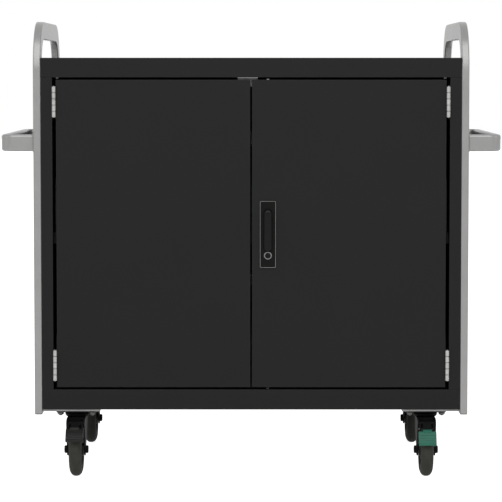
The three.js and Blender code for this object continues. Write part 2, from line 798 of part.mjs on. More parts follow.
function fork(braked) {
  const crown = block([-forkHalf, forkHalf], [-forkFront, forkBack], [crownBottom, crownTop]);
  const race = rod('z', [0, 0], raceRadius, [crownTop - forkPlate / 2, crownTop + lowerRaceHeight]);
  const boreRange = [crownBottom - forkPlate, upperRaceBottom];
  const kingBore = rod('z', [0, 0], boreOver(kingpinRadius, smallSides), boreRange, smallSides);
  return cut(join(crown, race, forkLeg(-1, braked), forkLeg(1, braked)), kingBore);
}

function axle() {
  const seat = forkHalf + runningGap;
  const end = seat + axleHeadLength;
  const at = [-casterTrail, axleHeight];
  const headRadius = axleHeadWidth / Math.sqrt(3);
  const shaft = rod('x', at, axleRadius, [-end, end], smallSides);
  const head = rod('x', at, headRadius, [-end, -seat], hexSides);
  const nut = rod('x', at, headRadius, [seat, end], hexSides);
  return join(shaft, head, nut);
}

function wheelCore() {
  const hub = forkGap / 2 - hubClear;
  const rimHalf = tyreWidth / 2 - rimInset;
  const coreRadius = wheelRadius - tyreThickness;
  const rimInner = coreRadius - rimThickness;
  const profile = [
    [boreOver(axleRadius, coreSides), hub],
    [hubRadius, hub],
    [hubRadius, webThickness / 2],
    [rimInner, webThickness / 2],
    [rimInner, rimHalf],
    [coreRadius, rimHalf],
  ];
  return turned(profile, coreSides);
}

function tyre() {
  const half = tyreWidth / 2;
  const flatToCorner = 1 / Math.cos(Math.PI / tyreSides);
  const seat = (wheelRadius - tyreThickness + runningGap) * flatToCorner;
  const tread = wheelRadius * flatToCorner;
  const shoulder = Array.from({ length: shoulderSteps + 1 }, (_, i) => {
    const angle = (i / shoulderSteps) * (Math.PI / 2);
    return [tread - treadRound * (1 - Math.sin(angle)), half - treadRound * (1 - Math.cos(angle))];
  });
  return turned([[seat, half - rimInset], ...shoulder], tyreSides);
}

// A curved tread plate in front of the tyre, hung by a neck from a barrel between the fork's ears.
// It is drawn pressed, then turned back by the angle it is raised.
function brakePedal(raised) {
  const inner = wheelRadius + pedalClear;
  const outer = inner + pedalThickness;
  const polar = (radius, degrees) => {
    const angle = THREE.MathUtils.degToRad(degrees);
    return [-casterTrail - radius * Math.cos(angle), axleHeight + radius * Math.sin(angle)];
  };
  const { lerp } = THREE.MathUtils;
  const fractions = Array.from({ length: pedalSteps + 1 }, (_, i) => i / pedalSteps);
  const angles = fractions.map((fraction) => lerp(pedalLowAngle, pedalHighAngle, fraction));
  const outerArc = angles.map((angle) => polar(outer, angle));
  const innerArc = angles.toReversed().map((angle) => polar(inner, angle));
  const pivot = [-casterTrail - pedalPivotForward, pedalPivotHeight];
  const neck = [
    polar(outer, pedalHighAngle - pedalNeckLap),
    [pivot[0], pivot[1] + pedalNeckHeight / 2],
    [pivot[0], pivot[1] - pedalNeckHeight / 2],
    polar(inner, pedalHighAngle - pedalNeckLap),
  ];
  const pedal = join(
    extrude(polygon([...outerArc, ...innerArc]), 'x', about(pedalWidth)),
    extrude(polygon(neck), 'x', about(pedalNeckWidth)),
    rod('x', pivot, pedalBarrelRadius, about(forkGap - 2 * runningGap), smallSides),
    rod('x', pivot, pedalPinRadius, about(forkGap + forkPlate), smallSides),
  );
  const [pivotY, pivotZ] = pivot;
  const turn = -THREE.MathUtils.degToRad(raised);
  return pedal.translate(0, -pivotY, -pivotZ).rotateX(turn).translate(0, pivotY, pivotZ);
}

function addCaster(label, xSide, ySide, pedal) {
  const caster = new THREE.Group();
  const kingpinY = ySide > 0 ? back - casterFromBack : front + casterFromFront;
  caster.position.set(xSide * (halfWidth - casterFromSide), kingpinY, 0);
  caster.rotation.z = ySide > 0 ? Math.PI : 0;
  cart.add(caster);
  const wheel = new THREE.Group();
  wheel.position.set(0, -casterTrail, axleHeight);
  caster.add(wheel);
  addPart(caster, `${label}_caster_plate`, casterPlate(), 'zinc');
  addPart(caster, `${label}_fork`, fork(pedal !== undefined), 'blackPaint');
  addPart(caster, `${label}_axle`, axle(), 'zinc');
  addPart(wheel, `${label}_wheel`, wheelCore(), 'blackPlastic');
  addPart(wheel, `${label}_tyre`, tyre(), 'rubber');
  if (pedal) {
    addPart(caster, `${label}_brake_pedal`, brakePedal(pedal.raised), pedal.finish);
  }
}

addShell();
addShelf();
addRack('lower_divider_rack', wallBottom);
addRack('upper_divider_rack', shelfTop);
addPowerStrip('lower_power_strip', stripBottoms.lower);
addPowerStrip('upper_power_strip', stripBottoms.upper);
addInlet();
addHarness();
for (const [label, side] of [['left', -1], ['right', 1]]) {
  addEndFrame(`${label}_end_frame`, side);
  addPushHandle(`${label}_push_handle`, side);
  addRail(`${label}_caster_rail`, side);
  addHinge(`${label}_upper`, side, doorTop - hingeInset - hingeLength);
  addHinge(`${label}_lower`, side, doorBottom + hingeInset);
}
addStrike();
addDoors();
addEscutcheon();
addLever();
addSpindle();
addKeyCylinder();
addRods();
addRodGuide('upper_rod_guide', lockTop + rodGuideFromLock);
addRodGuide('lower_rod_guide', lockBottom - rodGuideFromLock - rodGuideLength);
addCaster('front_left', -1, -1, { raised: pedalRaise, finish: 'blackPlastic' });
addCaster('front_right', 1, -1, { raised: 0, finish: 'tealPlastic' });
addCaster('rear_left', -1, 1);
addCaster('rear_right', 1, 1);

export default cart;
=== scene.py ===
"""Looks of the laptop charging cart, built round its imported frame.

Metres, +Z up. The doors face -Y, and +X is on the right of a person who faces them.
"""

import json
from math import cos, pi, radians, sin, sqrt
from types import SimpleNamespace

import bmesh
import bpy
from mathutils import Matrix, Vector


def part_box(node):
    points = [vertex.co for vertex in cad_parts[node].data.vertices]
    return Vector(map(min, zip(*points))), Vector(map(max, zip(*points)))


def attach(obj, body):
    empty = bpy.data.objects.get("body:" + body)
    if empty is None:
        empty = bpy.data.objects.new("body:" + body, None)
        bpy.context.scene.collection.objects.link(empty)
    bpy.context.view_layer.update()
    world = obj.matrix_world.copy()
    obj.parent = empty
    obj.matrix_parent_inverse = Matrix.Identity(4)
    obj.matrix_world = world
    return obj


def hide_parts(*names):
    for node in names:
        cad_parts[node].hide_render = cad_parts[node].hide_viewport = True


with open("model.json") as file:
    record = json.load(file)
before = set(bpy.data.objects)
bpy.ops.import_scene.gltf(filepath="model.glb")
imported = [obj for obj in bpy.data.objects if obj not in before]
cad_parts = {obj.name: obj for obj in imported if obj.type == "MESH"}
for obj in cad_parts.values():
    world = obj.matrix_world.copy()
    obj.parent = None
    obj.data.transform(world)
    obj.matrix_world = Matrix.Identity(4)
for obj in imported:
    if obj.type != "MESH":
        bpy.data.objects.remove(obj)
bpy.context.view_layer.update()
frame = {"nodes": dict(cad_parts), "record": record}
record = frame["record"]
joints = {joint["name"]: joint for joint in record["behaviour"]["joints"]}
body_of = {node: body for body, nodes in record["behaviour"]["bodies"].items() for node in nodes}
slot_of = {part["node"]: part["material_slot"] for part in record["subparts"]}

SIDES = {"left": -1, "right": 1}
# The end of the cart along Y that each caster is at
CASTERS = {"front_left": -1, "front_right": -1, "rear_left": 1, "rear_right": 1}

# How finely round shapes are drawn
CORNER_STEPS = 8
BEND_STEPS = 16
SWEEP_STEPS = 20
FOLD_STEPS = 3
ROUND_SIDES = 48
SCREW_SIDES = 20
PIN_SIDES = 24
KNUCKLE_SIDES = 32
WHEEL_SIDES = 64
TYRE_SIDES = 96
SHARP_ANGLE = radians(35)
FLAT_ANGLE = radians(1)
CAD_MERGE = 1e-5
DRAWN_MERGE = 1e-7

# Sheet metal
SHEET = 0.0015
FOLD = 0.0005
FINE_FOLD = 0.0002
OUTER_FOLD = 0.0015
THIN_EDGE = 0.0004
PLATE_EDGE = 0.0007
THICK_EDGE = 0.0008

# Louvres over the vent slots. LOUVRE_ENDS says what share of its reach a hood has at places in from its end
VENT_LENGTH = 0.12
VENT_HEIGHT = 0.006
VENT_PITCH = 0.018
VENT_ROWS = 7
VENT_TOP = 0.877
REAR_VENTS = (-0.315, -0.105, 0.105, 0.315)
LOUVRE_REACH = 0.0075
LOUVRE_RISE = 0.004
LOUVRE_MARGIN = 0.002
LOUVRE_SKIN = 0.7 * SHEET
LOUVRE_ROOT = 0.001
LOUVRE_LEAST = 0.0002
LOUVRE_SINK = 0.0001
LOUVRE_STEPS = 6
LOUVRE_ENDS = ((0, 0.05), (0.003, 0.6), (0.008, 1))

# Tubes
TUBE_WIDTH = 0.018
FRAME_BAND = 0.042
FRAME_BEND = 0.115
FRAME_CORNER = 0.003
HANDLE_BEND = 0.027
HANDLE_CORNER = 0.0065
WELD_RADIUS = 0.0022
WELD_FLATNESS = 0.6
WELD_SIDES = 8
PLUG_LIP = 0.0018
PLUG_GAP = 0.001

# Screw heads: how many sides they are drawn with, and points of (share of the radius, height)
SCREW_HEADS = {
    "button": (
        SCREW_SIDES,
        ((1, 0), (0.97, 0.0009), (0.8, 0.0019), (0.5, 0.0025), (0.46, 0.0025), (0.42, 0.0012)),
    ),
    "flush": (PIN_SIDES, ((1, 0), (0.95, 0.0004), (0.46, 0.0004), (0.42, -0.0012))),
}
LEG_SCREWS = 4
LEG_SCREW_INSET = 0.0275
LEG_SCREW_RADIUS = 0.0055
REAR_SCREWS = 6
REAR_SCREW_INSET = (0.05, 0.012)
REAR_SCREW_RADIUS = 0.0045

# Hinges
KNUCKLES = 5
KNUCKLE_RADIUS = 0.005
KNUCKLE_EDGE = 0.0009
HINGE_GAP = 0.0085
LEAF = 0.002
LEAF_BEHIND = 0.0053
LEAF_EDGE = 0.0003
PIN_RADIUS = 0.0025
PIN_EDGE = 0.001
PIN_OVERHANG = 0.001
RUNNING_GAP = 0.0003

# Lock rim: rings of (inset from the plate's edge, corner radius, place behind the plate's face)
RIM_RINGS = (
    (0, 0.003, 0.0022), (0, 0.003, 0.0003), (0.0005, 0.0025, -0.0002), (0.0014, 0.0016, -0.0002),
    (0.0018, 0.0012, 0.0002), (0.0018, 0.0012, 0.0008),
)

# Lock lever. The tip's width and the most that a corner takes are shares, and the cap is (radius, place)
LEVER_SLOT = 0.0066
LEVER_SLOT_DEPTH = 0.012
LEVER_WEB = 0.0002
LEVER_EYE_GAP = 0.0004
LEVER_CROWN = 0.002
LEVER_TIP = 0.008
LEVER_TIP_WIDTH = 0.55
LEVER_CORNER = 0.0042
LEVER_CORNER_WIDTH = 0.6
LEVER_CORNER_DEPTH = 0.4
LEVER_END = 0.0008
LEVER_STEPS = 24
LEVER_PIN = 0.002
LEVER_PIN_INSET = 0.0025
LEVER_CAP_DROP = 0.001
LEVER_CAP = ((0.0024, 0.0004), (0.0024, -0.0002), (0.0019, 0))

# Key cylinder: rings of (radius, place behind its front), and the keyway's width, height, corner and depths
KEY_SLEEVE = ((0.0061, 0.003), (0.0061, 0.0010), (0.0068, 0), (0.0087, 0), (0.0095, 0.0008))
KEY_PLUG = ((0.0055, 0.0008), (0.0060, 0.0014), (0.0060, 0.006))
KEYWAY = (0.0022, 0.0085, 0.001)
KEYWAY_DEPTHS = (0.005, 0.0012)

# Lock rods. The lower one's cap is points of (share of its radius, what is added to that, height)
ROD_EDGE = 0.0012
ROD_CAP = ((0.5, 0, -0.0002), (0.9, 0, 0.0006), (1, 0.0002, 0.0022), (1, 0.0002, 0.011), (1, -0.0002, 0.012))

# Caster plates and their bolts. A bolt's end is points of (radius, place below its head)
PLATE = 0.004
PLATE_CORNER = 0.008
PLATE_BOLT_X = 0.0373
PLATE_BOLT_Y = 0.041
WASHER = 0.0012
BOLT_WASHER_RADIUS = 0.0085
BOLT_HEX = 0.013
BOLT_HEAD = 0.006
BOLT_END = ((0.0038, -0.001), (0.0038, 0.0015), (0.003, 0.0022))
KINGPIN_RADIUS = 0.0058
KINGPIN_HEX = 0.017
KINGPIN_HEAD = 0.006
KINGPIN_ROOT = 0.004
KINGPIN_END = 0.003
RACE_RADIUS = 0.029
RACE_BORE = 0.0066
RACE_EDGE = 0.001
RACE_RIM = 0.002
RACE_RIM_DEPTH = 0.0015
RACE_FOOT = 0.003
NUT_CHAMFER = 0.2
NUT_FACE = 0.86

# Caster forks and wheels. HUB is points of (radius, half width), and RIM of (inset from outside, half width)
FORK_HALF = 0.022
FORK_PLATE = 0.003
FORK_BACK = 0.028
FORK_FRONT = 0.044
FORK_NOSE = 0.006
FORK_EYE = 0.015
FORK_BULGE = 0.006
FORK_TUCK = 0.0002
CROWN_RISE = 0.010
CROWN_EDGE = 0.0012
AXLE_RADIUS = 0.0049
AXLE_STANDS = 0.004
AXLE_WASHER_RADIUS = 0.0098
AXLE_HEX = 0.017
AXLE_NUT = 0.005
HUB = ((0.0053, 0.018), (0.015, 0.018), (0.016, 0.017), (0.017, 0.0055), (0.018, 0.005))
RIM = ((0.009, 0.005), (0.008, 0.006))
RIM_WALL = 0.007
WHEEL_DEPTH = 0.0155
RIBS = 8
RIB_HALF = 0.0014
RIB_START = 0.015
RIB_END = 0.0075
RIB_INSET = 0.002
RIM_INSET = 0.003
TREAD_SEAT = 0.0152
TREAD_DEPTH = 0.022
TREAD_STEP = 0.0005
TREAD_STEPS = 18
TREAD_POWER = 2.3
TREAD_LINE = 0.0004

# Brake pedals. Angles are degrees about the axle, up from the front of the tyre. The lip is points of
# (radius, place across), and the ends of the arm and its cheeks are points from the pivot
PEDAL_ANGLES = (15, 42)
PEDAL_PRESS = 5
PEDAL_EAR = 0.008
PEDAL_CLEAR = 0.008
PEDAL_PLATE = 0.006
PEDAL_SKIN = 0.001
PEDAL_HALF = 0.021
PEDAL_EDGE = 0.0014
PEDAL_STEPS = 12
PEDAL_LIP = ((0.0022, -0.0208), (0.0036, -0.0196), (0.0036, 0.0196), (0.0022, 0.0208))
PEDAL_LIP_ANGLE = 2
PEDAL_RIBS = (8, 13, 18)
PEDAL_RIB = 2.6
PEDAL_RIB_HALF = 0.0204
PEDAL_RIB_STEPS = 3
PEDAL_TAB = 4
PEDAL_TAB_HALF = 0.0105
PEDAL_TAB_LEAN = 0.0005
PEDAL_TAB_DROP = 0.0015
PEDAL_NECK = 0.020
PEDAL_NECK_ANGLES = (3, -8)
PEDAL_ARM = 0.004
PEDAL_ARM_END = ((0, -0.003), (-0.002, 0.004))
PEDAL_ARM_EDGE = 0.0006
PEDAL_CHEEK = 0.0145
PEDAL_CHEEK_PLATE = 0.0035
PEDAL_CHEEK_ANGLE = 5
PEDAL_CHEEK_SINK = 0.0005
PEDAL_CHEEK_END = ((-0.0035, 0.0035), (0, -0.0025))
PEDAL_BARREL = 0.0044
PEDAL_PIN = 0.0024
PEDAL_PIN_STANDS = 0.0015

# Wheel guards, by angles in degrees from the back of the tyre, and the depth and height of their flange
GUARD_BACK = 40
GUARD_FRONT = 94
GUARD_PEDAL_FRONT = 116
GUARD_CLEAR = 0.0015
GUARD_PLATE = 0.0015
GUARD_FLANGE = (0.0025, 0.0075)

# Divider racks
RACK_SLOTS = 12
RACK_MARGIN = 0.002
DIVIDER = 0.0024
DIVIDER_NOSE = 0.06
DIVIDER_HEEL = 0.012

# Power sockets: width, height and corner, and each hole's place, width and height
SOCKETS = 10
SOCKET_PITCH = 0.072
SOCKET = (0.046, 0.030, 0.004)
SOCKET_STANDS = 0.0012
SOCKET_SINK = 0.002
SOCKET_HOLES = ((-0.0095, 0, 0.0022, 0.008), (0.0095, 0, 0.0022, 0.008), (0, -0.007, 0.005, 0.005))
HOLE_CORNER = 0.001
HOLE_STANDS = 0.00125
HOLE_EDGE = 0.0001
SMALL_STEPS = 4

# Power inlet: where its blades are, and a blade's width, height and corner
INLET_DEPTH = 0.018
INLET_BLADES = ((-0.007, -0.002), (0.007, -0.002), (0, 0.003))
BLADE = (0.002, 0.004, 0.0007)
BLADE_ROOT = 0.001
BLADE_BEHIND = 0.005
INLET_SCREW_INSET = 0.0045
INLET_SCREW_RADIUS = 0.003

# Door buffers: points of (radius, height)
BUFFER = ((0.0036, 0.0002), (0.0036, -0.0016), (0.0030, -0.0026), (0.0018, -0.0031))
BUFFER_INSET = 0.0035
BUFFER_BEHIND = 0.002

# Finishes
CLOUD_DETAIL = 4
GRAIN_DETAIL = 2
GRAIN_SHARE = 0.5
GRAIN_DARK = 1.5
NOISE_RANGE = (0.3, 0.7)
ROUGH_RANGE = (0.2, 0.8)
# Edge colour patches: worn paint, and a painted highlight on the lock casting
WEAR_AND_HIGHLIGHT_SCALE = 70
WEAR_AND_HIGHLIGHT_MOST = 0.7
BUMP_STRENGTH = 0.6
BRUSHED = (1, 60, 60)

# Light: name, place, target, size and power. The glow of the floor is only seen, and lights nothing
LIGHTS = (
    ("front", (0, -6.5, 3.2), (0, 0, 0.6), (5, 2.5), 80),
    ("high", (0, -4.0, 5.4), (0, 0, 0.8), (5, 4.3), 162),
    ("left", (-4.5, -1.5, 2.4), (0, 0, 0.8), (3, 3), 25),
    ("right", (4.5, -1.5, 2.4), (0, 0, 0.8), (3, 3), 25),
)
AMBIENT = 0.38
FLOOR_REACH = 30
FLOOR_COLOUR = (0.8, 0.8, 0.8, 1)
FLOOR_ROUGH = 0.9
FLOOR_SPECULAR = 0.1
FLOOR_GLOW = 0.95

# Camera: its place, its focal length in mm, and how far it tips down and turns left in degrees
CAMERA_PLACE = (0.008, -6.232, 0.9587)
CAMERA_LENS = 180.9
CAMERA_TIP = 4.05
CAMERA_TURN = 0.08


def box(node):
    low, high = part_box(node)
    return Vector(low), Vector(high)


def outer_face(node, sign):
    """The place along X of the node's face furthest from the middle of the cart."""
    low, high = box(node)
    return sign * max(abs(low.x), abs(high.x))


def place(axis, outline, along):
    """The points of an outline, which is (u, v) in the plane across an axis, at one place along that axis."""
    i = "xyz".index(axis)
    return [Vector((*point[:i], along, *point[i:])) for point in outline]


def arc(centre, radius, start, end, steps=CORNER_STEPS):
    """Points on an arc, from and to an angle in degrees."""
    angles = [radians(start + (end - start) * i / steps) for i in range(steps + 1)]
    return [(centre[0] + radius * cos(a), centre[1] + radius * sin(a)) for a in angles]


def rounded(low, high, radius, steps=CORNER_STEPS):
    """A rectangle with round corners, from its low and high corner."""
    radius = min(radius, (high[0] - low[0]) / 2, (high[1] - low[1]) / 2)
    left, right = low[0] + radius, high[0] - radius
    bottom, top = low[1] + radius, high[1] - radius
    centres = [(right, top), (left, top), (left, bottom), (right, bottom)]
    outline = []
    for i, centre in enumerate(centres):
        outline += arc(centre, radius, 90 * i, 90 * i + 90, steps)
    return outline


def rounded_about(centre, width, height, radius, steps=CORNER_STEPS):
    low = (centre[0] - width / 2, centre[1] - height / 2)
    high = (centre[0] + width / 2, centre[1] + height / 2)
    return rounded(low, high, radius, steps)


def ring(centre, radius, sides):
    return arc(centre, radius, 0, 360 * (1 - 1 / sides), sides - 1)


def loft(mesh, rings, loop=False):
    """A skin over rings of points, one after the other, closed by end faces or back on itself."""
    rows = [[mesh.verts.new(point) for point in points] for points in rings]
    pairs = list(zip(rows, rows[1:]))
    if loop:
        pairs.append((rows[-1], rows[0]))
    faces = []
    for row, following in pairs:
        for i in range(len(row)):
            j = (i + 1) % len(row)
            faces.append(mesh.faces.new((row[i], row[j], following[j], following[i])))
    if not loop:
        faces.append(mesh.faces.new(rows[0][::-1]))
        faces.append(mesh.faces.new(rows[-1]))
    return faces


def turn(mesh, axis, centre, profile, loop=False, sides=ROUND_SIDES):
    """A turned shape from a profile of (radius, place along the axis)."""
    rings = [place(axis, ring(centre, radius, sides), along) for radius, along in profile]
    loft(mesh, rings, loop)


def rod(mesh, axis, centre, radius, low, high, sides=PIN_SIDES):
    turn(mesh, axis, centre, [(radius, low), (radius, high)], sides=sides)


def chamfered(radius, edge, low, high):
    """The profile of a rod whose two ends are chamfered."""
    return [(radius - edge, low), (radius, low + edge), (radius, high - edge), (radius - edge, high)]


def bevel(mesh, faces, width):
    """Rounds the sharp edges among some faces."""
    mesh.normal_update()
    edges = dict.fromkeys(edge for face in faces for edge in face.edges if len(edge.link_faces) == 2)
    sharp = [edge for edge in edges if edge.calc_face_angle(0) > SHARP_ANGLE]
    round_edges(mesh, sharp, width, 2)


def round_edges(mesh, edges, width, segments):
    """Bevels some edges, and marks the new faces, which finishes give their edge colour: worn paint, and a
    painted highlight on the lock casting.
    """
    layers = mesh.faces.layers.float
    worn = layers.get("worn") or layers.new("worn")
    made = bmesh.ops.bevel(
        mesh, geom=edges, offset=width, segments=segments, profile=0.5, affect="EDGES", clamp_overlap=True
    )
    for face in made["faces"]:
        face[worn] = 1


def plate(mesh, axis, outline, low, high, edge=FOLD):
    """An outline made into a plate, with its edges rounded."""
    faces = loft(mesh, [place(axis, outline, low), place(axis, outline, high)])
    bmesh.ops.recalc_face_normals(mesh, faces=faces)
    bevel(mesh, faces, edge)


def block(mesh, low, high, edge):
    corners = [(low[0], low[1]), (high[0], low[1]), (high[0], high[1]), (low[0], high[1])]
    plate(mesh, "z", corners, low[2], high[2], edge)


def sweep(mesh, path, section, across):
    """A section carried along a flat path of (point, direction). across is square to the path's plane."""
    rings = []
    for point, direction in path:
        outward = across.cross(direction)
        rings.append([point + outward * u + across * v for u, v in section])
    loft(mesh, rings)


def softened(node, width, outer):
    """A copy of a CAD node's mesh with its edges rounded. outer is the radius on the edges of its box."""
    mesh = bmesh.new()
    mesh.from_mesh(frame["nodes"][node].data)
    bmesh.ops.remove_doubles(mesh, verts=mesh.verts, dist=CAD_MERGE)
    bmesh.ops.dissolve_limit(mesh, angle_limit=FLAT_ANGLE, verts=mesh.verts, edges=mesh.edges)
    faces = list(mesh.faces)
    if outer:
        low, high = box(node)
        edges = [edge for edge in mesh.edges if box_sides(edge, low, high) >= 2]
        faces = [face for face in faces if not any(edge in edges for edge in face.edges)]
        round_edges(mesh, edges, outer, FOLD_STEPS)
    bevel(mesh, [face for face in faces if face.is_valid], width)
    return mesh


def box_sides(edge, low, high):
    """How many sides of a box an edge lies on."""
    planes = [(i, corner[i]) for corner in (low, high) for i in range(3)]
    return sum(all(abs(vert.co[i] - plane) < CAD_MERGE for vert in edge.verts) for i, plane in planes)


def add_object(name, data):
    made = bpy.data.objects.new(name, data)
    bpy.context.scene.collection.objects.link(made)
    return made


def piece(name, mesh, slot, replaces=(), rides_with=None, look=None):
    """Makes an object of a mesh. It rides on the body of the node that it replaces or goes with."""
    bmesh.ops.remove_doubles(mesh, verts=mesh.verts, dist=DRAWN_MERGE)
    bmesh.ops.recalc_face_normals(mesh, faces=mesh.faces)
    for face in mesh.faces:
        face.smooth = True
    for edge in mesh.edges:
        edge.smooth = len(edge.link_faces) == 2 and edge.calc_face_angle(0) < SHARP_ANGLE
    data = bpy.data.meshes.new(name)
    mesh.to_mesh(data)
    mesh.free()
    data.materials.append(materials[look or slot])
    made = add_object(name, data)
    weighted = made.modifiers.new("even_normals", "WEIGHTED_NORMAL")
    weighted.keep_sharp = True
    weighted.weight = 100
    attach(made, body_of[rides_with or replaces[0]])
    if replaces:
        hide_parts(*replaces)


class Nodes:
    """The node tree of a material or a world, with short ways to add to it."""

    def __init__(self, owner):
        owner.use_nodes = True
        self.tree = owner.node_tree

    def feed(self, socket, source):
        """Links another node's output to an input, or gives it a value."""
        if isinstance(source, bpy.types.NodeSocket):
            self.tree.links.new(source, socket)
        else:
            socket.default_value = source

    def set(self, node, **sources):
        """Feeds a node's inputs, by their names with _ for each space."""
        for name, source in sources.items():
            self.feed(node.inputs[name.replace("_", " ")], source)
        return node

    def add(self, kind, **sources):
        return self.set(self.tree.nodes.new(f"ShaderNode{kind}"), **sources)

    def math(self, operation, *sources):
        node = self.add("Math")
        node.operation = operation
        for socket, source in zip(node.inputs, sources):
            self.feed(socket, source)
        return node.outputs[0]

    def noise(self, scale, detail, stretch=(1, 1, 1)):
        spot = self.add("TexCoord").outputs["Object"]
        mapping = self.add("Mapping", Vector=spot, Scale=stretch)
        texture = self.add("TexNoise", Vector=mapping.outputs[0], Scale=scale, Detail=detail)
        return texture.outputs["Fac"]

    def remap(self, value, low, high, source=NOISE_RANGE):
        first, last = source
        node = self.add("MapRange", Value=value, From_Min=first, From_Max=last, To_Min=low, To_Max=high)
        return node.outputs[0]

    def mix(self, factor, first, second):
        node = self.add("Mix")
        node.data_type = "RGBA"
        # A mix of colours has them at inputs 6 and 7 and output 2
        for index, source in ((0, factor), (6, first), (7, second)):
            self.feed(node.inputs[index], source)
        return node.outputs[2]

    def seen_directly(self):
        """1 for camera, glossy and transmission rays, which see a plain white background."""
        rays = self.add("LightPath").outputs
        shiny = self.math("MAXIMUM", rays["Is Camera Ray"], rays["Is Glossy Ray"])
        return self.math("MAXIMUM", shiny, rays["Is Transmission Ray"])


def shade(colour, times):
    return (*(channel * times for channel in colour), 1)


def finish(
    name, colour, spread, rough, cloud, grain, bump, stretch=(1, 1, 1), metallic=0.0, specular=0.5, wear_and_highlight=None
):
    """A clouded, grained colour with its own roughness and bump, and another colour in patches on its rounded
    edges: worn paint, and a painted highlight on the lock casting.

    spread is how far the colour wanders, rough a range, cloud and grain are noise scales, bump a depth.
    """
    material = bpy.data.materials.new(name)
    nodes = Nodes(material)
    clouds = nodes.noise(cloud, CLOUD_DETAIL)
    grains = nodes.noise(grain, GRAIN_DETAIL, stretch)
    specks = nodes.remap(grains, 0, GRAIN_SHARE)
    base = nodes.mix(nodes.remap(clouds, 0, 1), shade(colour, 1 - spread), shade(colour, 1 + spread))
    base = nodes.mix(specks, base, shade(colour, 1 - GRAIN_DARK * spread))
    if wear_and_highlight:
        # Rounded edges take the edge colour in patches: worn paint, and on the lock casting a painted
        # highlight
        edges = nodes.add("Attribute")
        edges.attribute_name = "worn"
        patches = nodes.remap(nodes.noise(WEAR_AND_HIGHLIGHT_SCALE, CLOUD_DETAIL), 0, WEAR_AND_HIGHLIGHT_MOST)
        base = nodes.mix(nodes.math("MULTIPLY", patches, edges.outputs["Fac"]), base, shade(wear_and_highlight, 1))
    relief = nodes.add("Bump", Height=grains, Distance=bump, Strength=BUMP_STRENGTH)
    blend = nodes.math("MULTIPLY_ADD", clouds, 1 - GRAIN_SHARE, specks)
    nodes.set(
        nodes.tree.nodes["Principled BSDF"],
        Base_Color=base,
        Roughness=nodes.remap(blend, *rough, ROUGH_RANGE),
        Normal=relief.outputs[0],
        Metallic=metallic,
        Specular_IOR_Level=specular,
    )
    return material


materials = {
    "black_paint": finish(
        "black_powder_coat", (0.009, 0.009, 0.009), 0.1, (0.46, 0.6), 9, 1500, 0.00012, specular=0.138,
        wear_and_highlight=(0.022, 0.022, 0.022),
    ),
    "grey_paint": finish(
        "silver_powder_coat", (0.271, 0.271, 0.268), 0.05, (0.26, 0.34), 14, 1900, 0.00004, metallic=0.38
    ),
    "caster_steel": finish(
        "black_caster_coat", (0.0055, 0.0055, 0.0053), 0.2, (0.58, 0.74), 40, 900, 0.0001, specular=0.07,
        wear_and_highlight=(0.02, 0.02, 0.0195),
    ),
    "zinc": finish("zinc_plate", (0.36, 0.36, 0.35), 0.12, (0.26, 0.44), 60, 700, 0.00004, metallic=0.9),
    # Zinc darkened for the caster plate bolts: painted shade for their place under the plates
    "bolt_zinc": finish(
        "dull_zinc", (0.075, 0.075, 0.072), 0.15, (0.24, 0.4), 60, 700, 0.00004, metallic=0.9
    ),
    "lock_chrome": finish(
        "satin_chrome", (0.15, 0.15, 0.147), 0.08, (0.16, 0.3), 90, 1600, 0.00002, metallic=1.0
    ),
    # The lock casting's lighter edge colour is a painted highlight on its rounded edges
    "lock_black": finish(
        "lock_casting", (0.0018, 0.0018, 0.0016), 0.12, (0.18, 0.28), 50, 2600, 0.00004, specular=0.125,
        wear_and_highlight=(0.02, 0.02, 0.02),
    ),
    # A dark, dull finish: painted shade for the dish round the lever, and for the dark dot of the lever's pin
    # cap
    "lock_dish": finish(
        "lock_dish", (0.003, 0.003, 0.0028), 0.15, (0.44, 0.6), 50, 2600, 0.00008, specular=0.09
    ),
    "divider_plastic": finish(
        "divider_plastic", (0.03, 0.031, 0.034), 0.1, (0.44, 0.62), 20, 2200, 0.0001, specular=0.35
    ),
    "strip_metal": finish(
        "brushed_aluminium", (0.42, 0.42, 0.43), 0.1, (0.28, 0.44), 30, 30, 0.00003, BRUSHED, metallic=0.9
    ),
    "black_plastic": finish(
        "black_moulding", (0.0065, 0.0065, 0.0058), 0.15, (0.3, 0.44), 35, 2400, 0.00008, specular=0.15
    ),
    "buffer_rubber": finish(
        "buffer_rubber", (0.16, 0.16, 0.15), 0.1, (0.5, 0.7), 60, 1500, 0.00005, specular=0.3
    ),
    "cable": finish("cable_sheath", (0.01, 0.01, 0.01), 0.1, (0.48, 0.62), 30, 1800, 0.00006, specular=0.3),
    "tyre_rubber": finish(
        "tyre_rubber", (0.054, 0.055, 0.047), 0.22, (0.62, 0.86), 45, 1300, 0.00018, specular=0.08
    ),
    "teal_plastic": finish(
        "teal_moulding", (0.0145, 0.119, 0.078), 0.1, (0.32, 0.46), 35, 2200, 0.00008, specular=0.24
    ),
}


def add_sheet_metal():
    """Panels, pans, doors, brackets and small castings keep their CAD shape, with soft folds."""
    nodes = ("left_side_panel", "right_side_panel", "top_panel", "base_pan", "rear_panel", "middle_shelf",
             "left_door", "right_door", "left_caster_rail", "right_caster_rail", "strike_bracket",
             "lock_escutcheon", "lock_cam", "upper_rod_guide", "lower_rod_guide", "power_inlet",
             "lower_power_strip", "upper_power_strip", "lock_spindle", "wiring_harness")
    folded = ("side_panel", "top_panel", "base_pan", "door")
    # The escutcheon's dish takes a dark, dull finish as painted shade round the lever
    looks = {"lock_escutcheon": "lock_dish", "lock_spindle": "lock_black"}
    for node in nodes:
        edge = FINE_FOLD if node in ("lock_spindle", "wiring_harness") else FOLD
        outer = OUTER_FOLD if node.endswith(folded) else 0
        piece(f"{node}_soft", softened(node, edge, outer), slot_of[node], [node], look=looks.get(node))


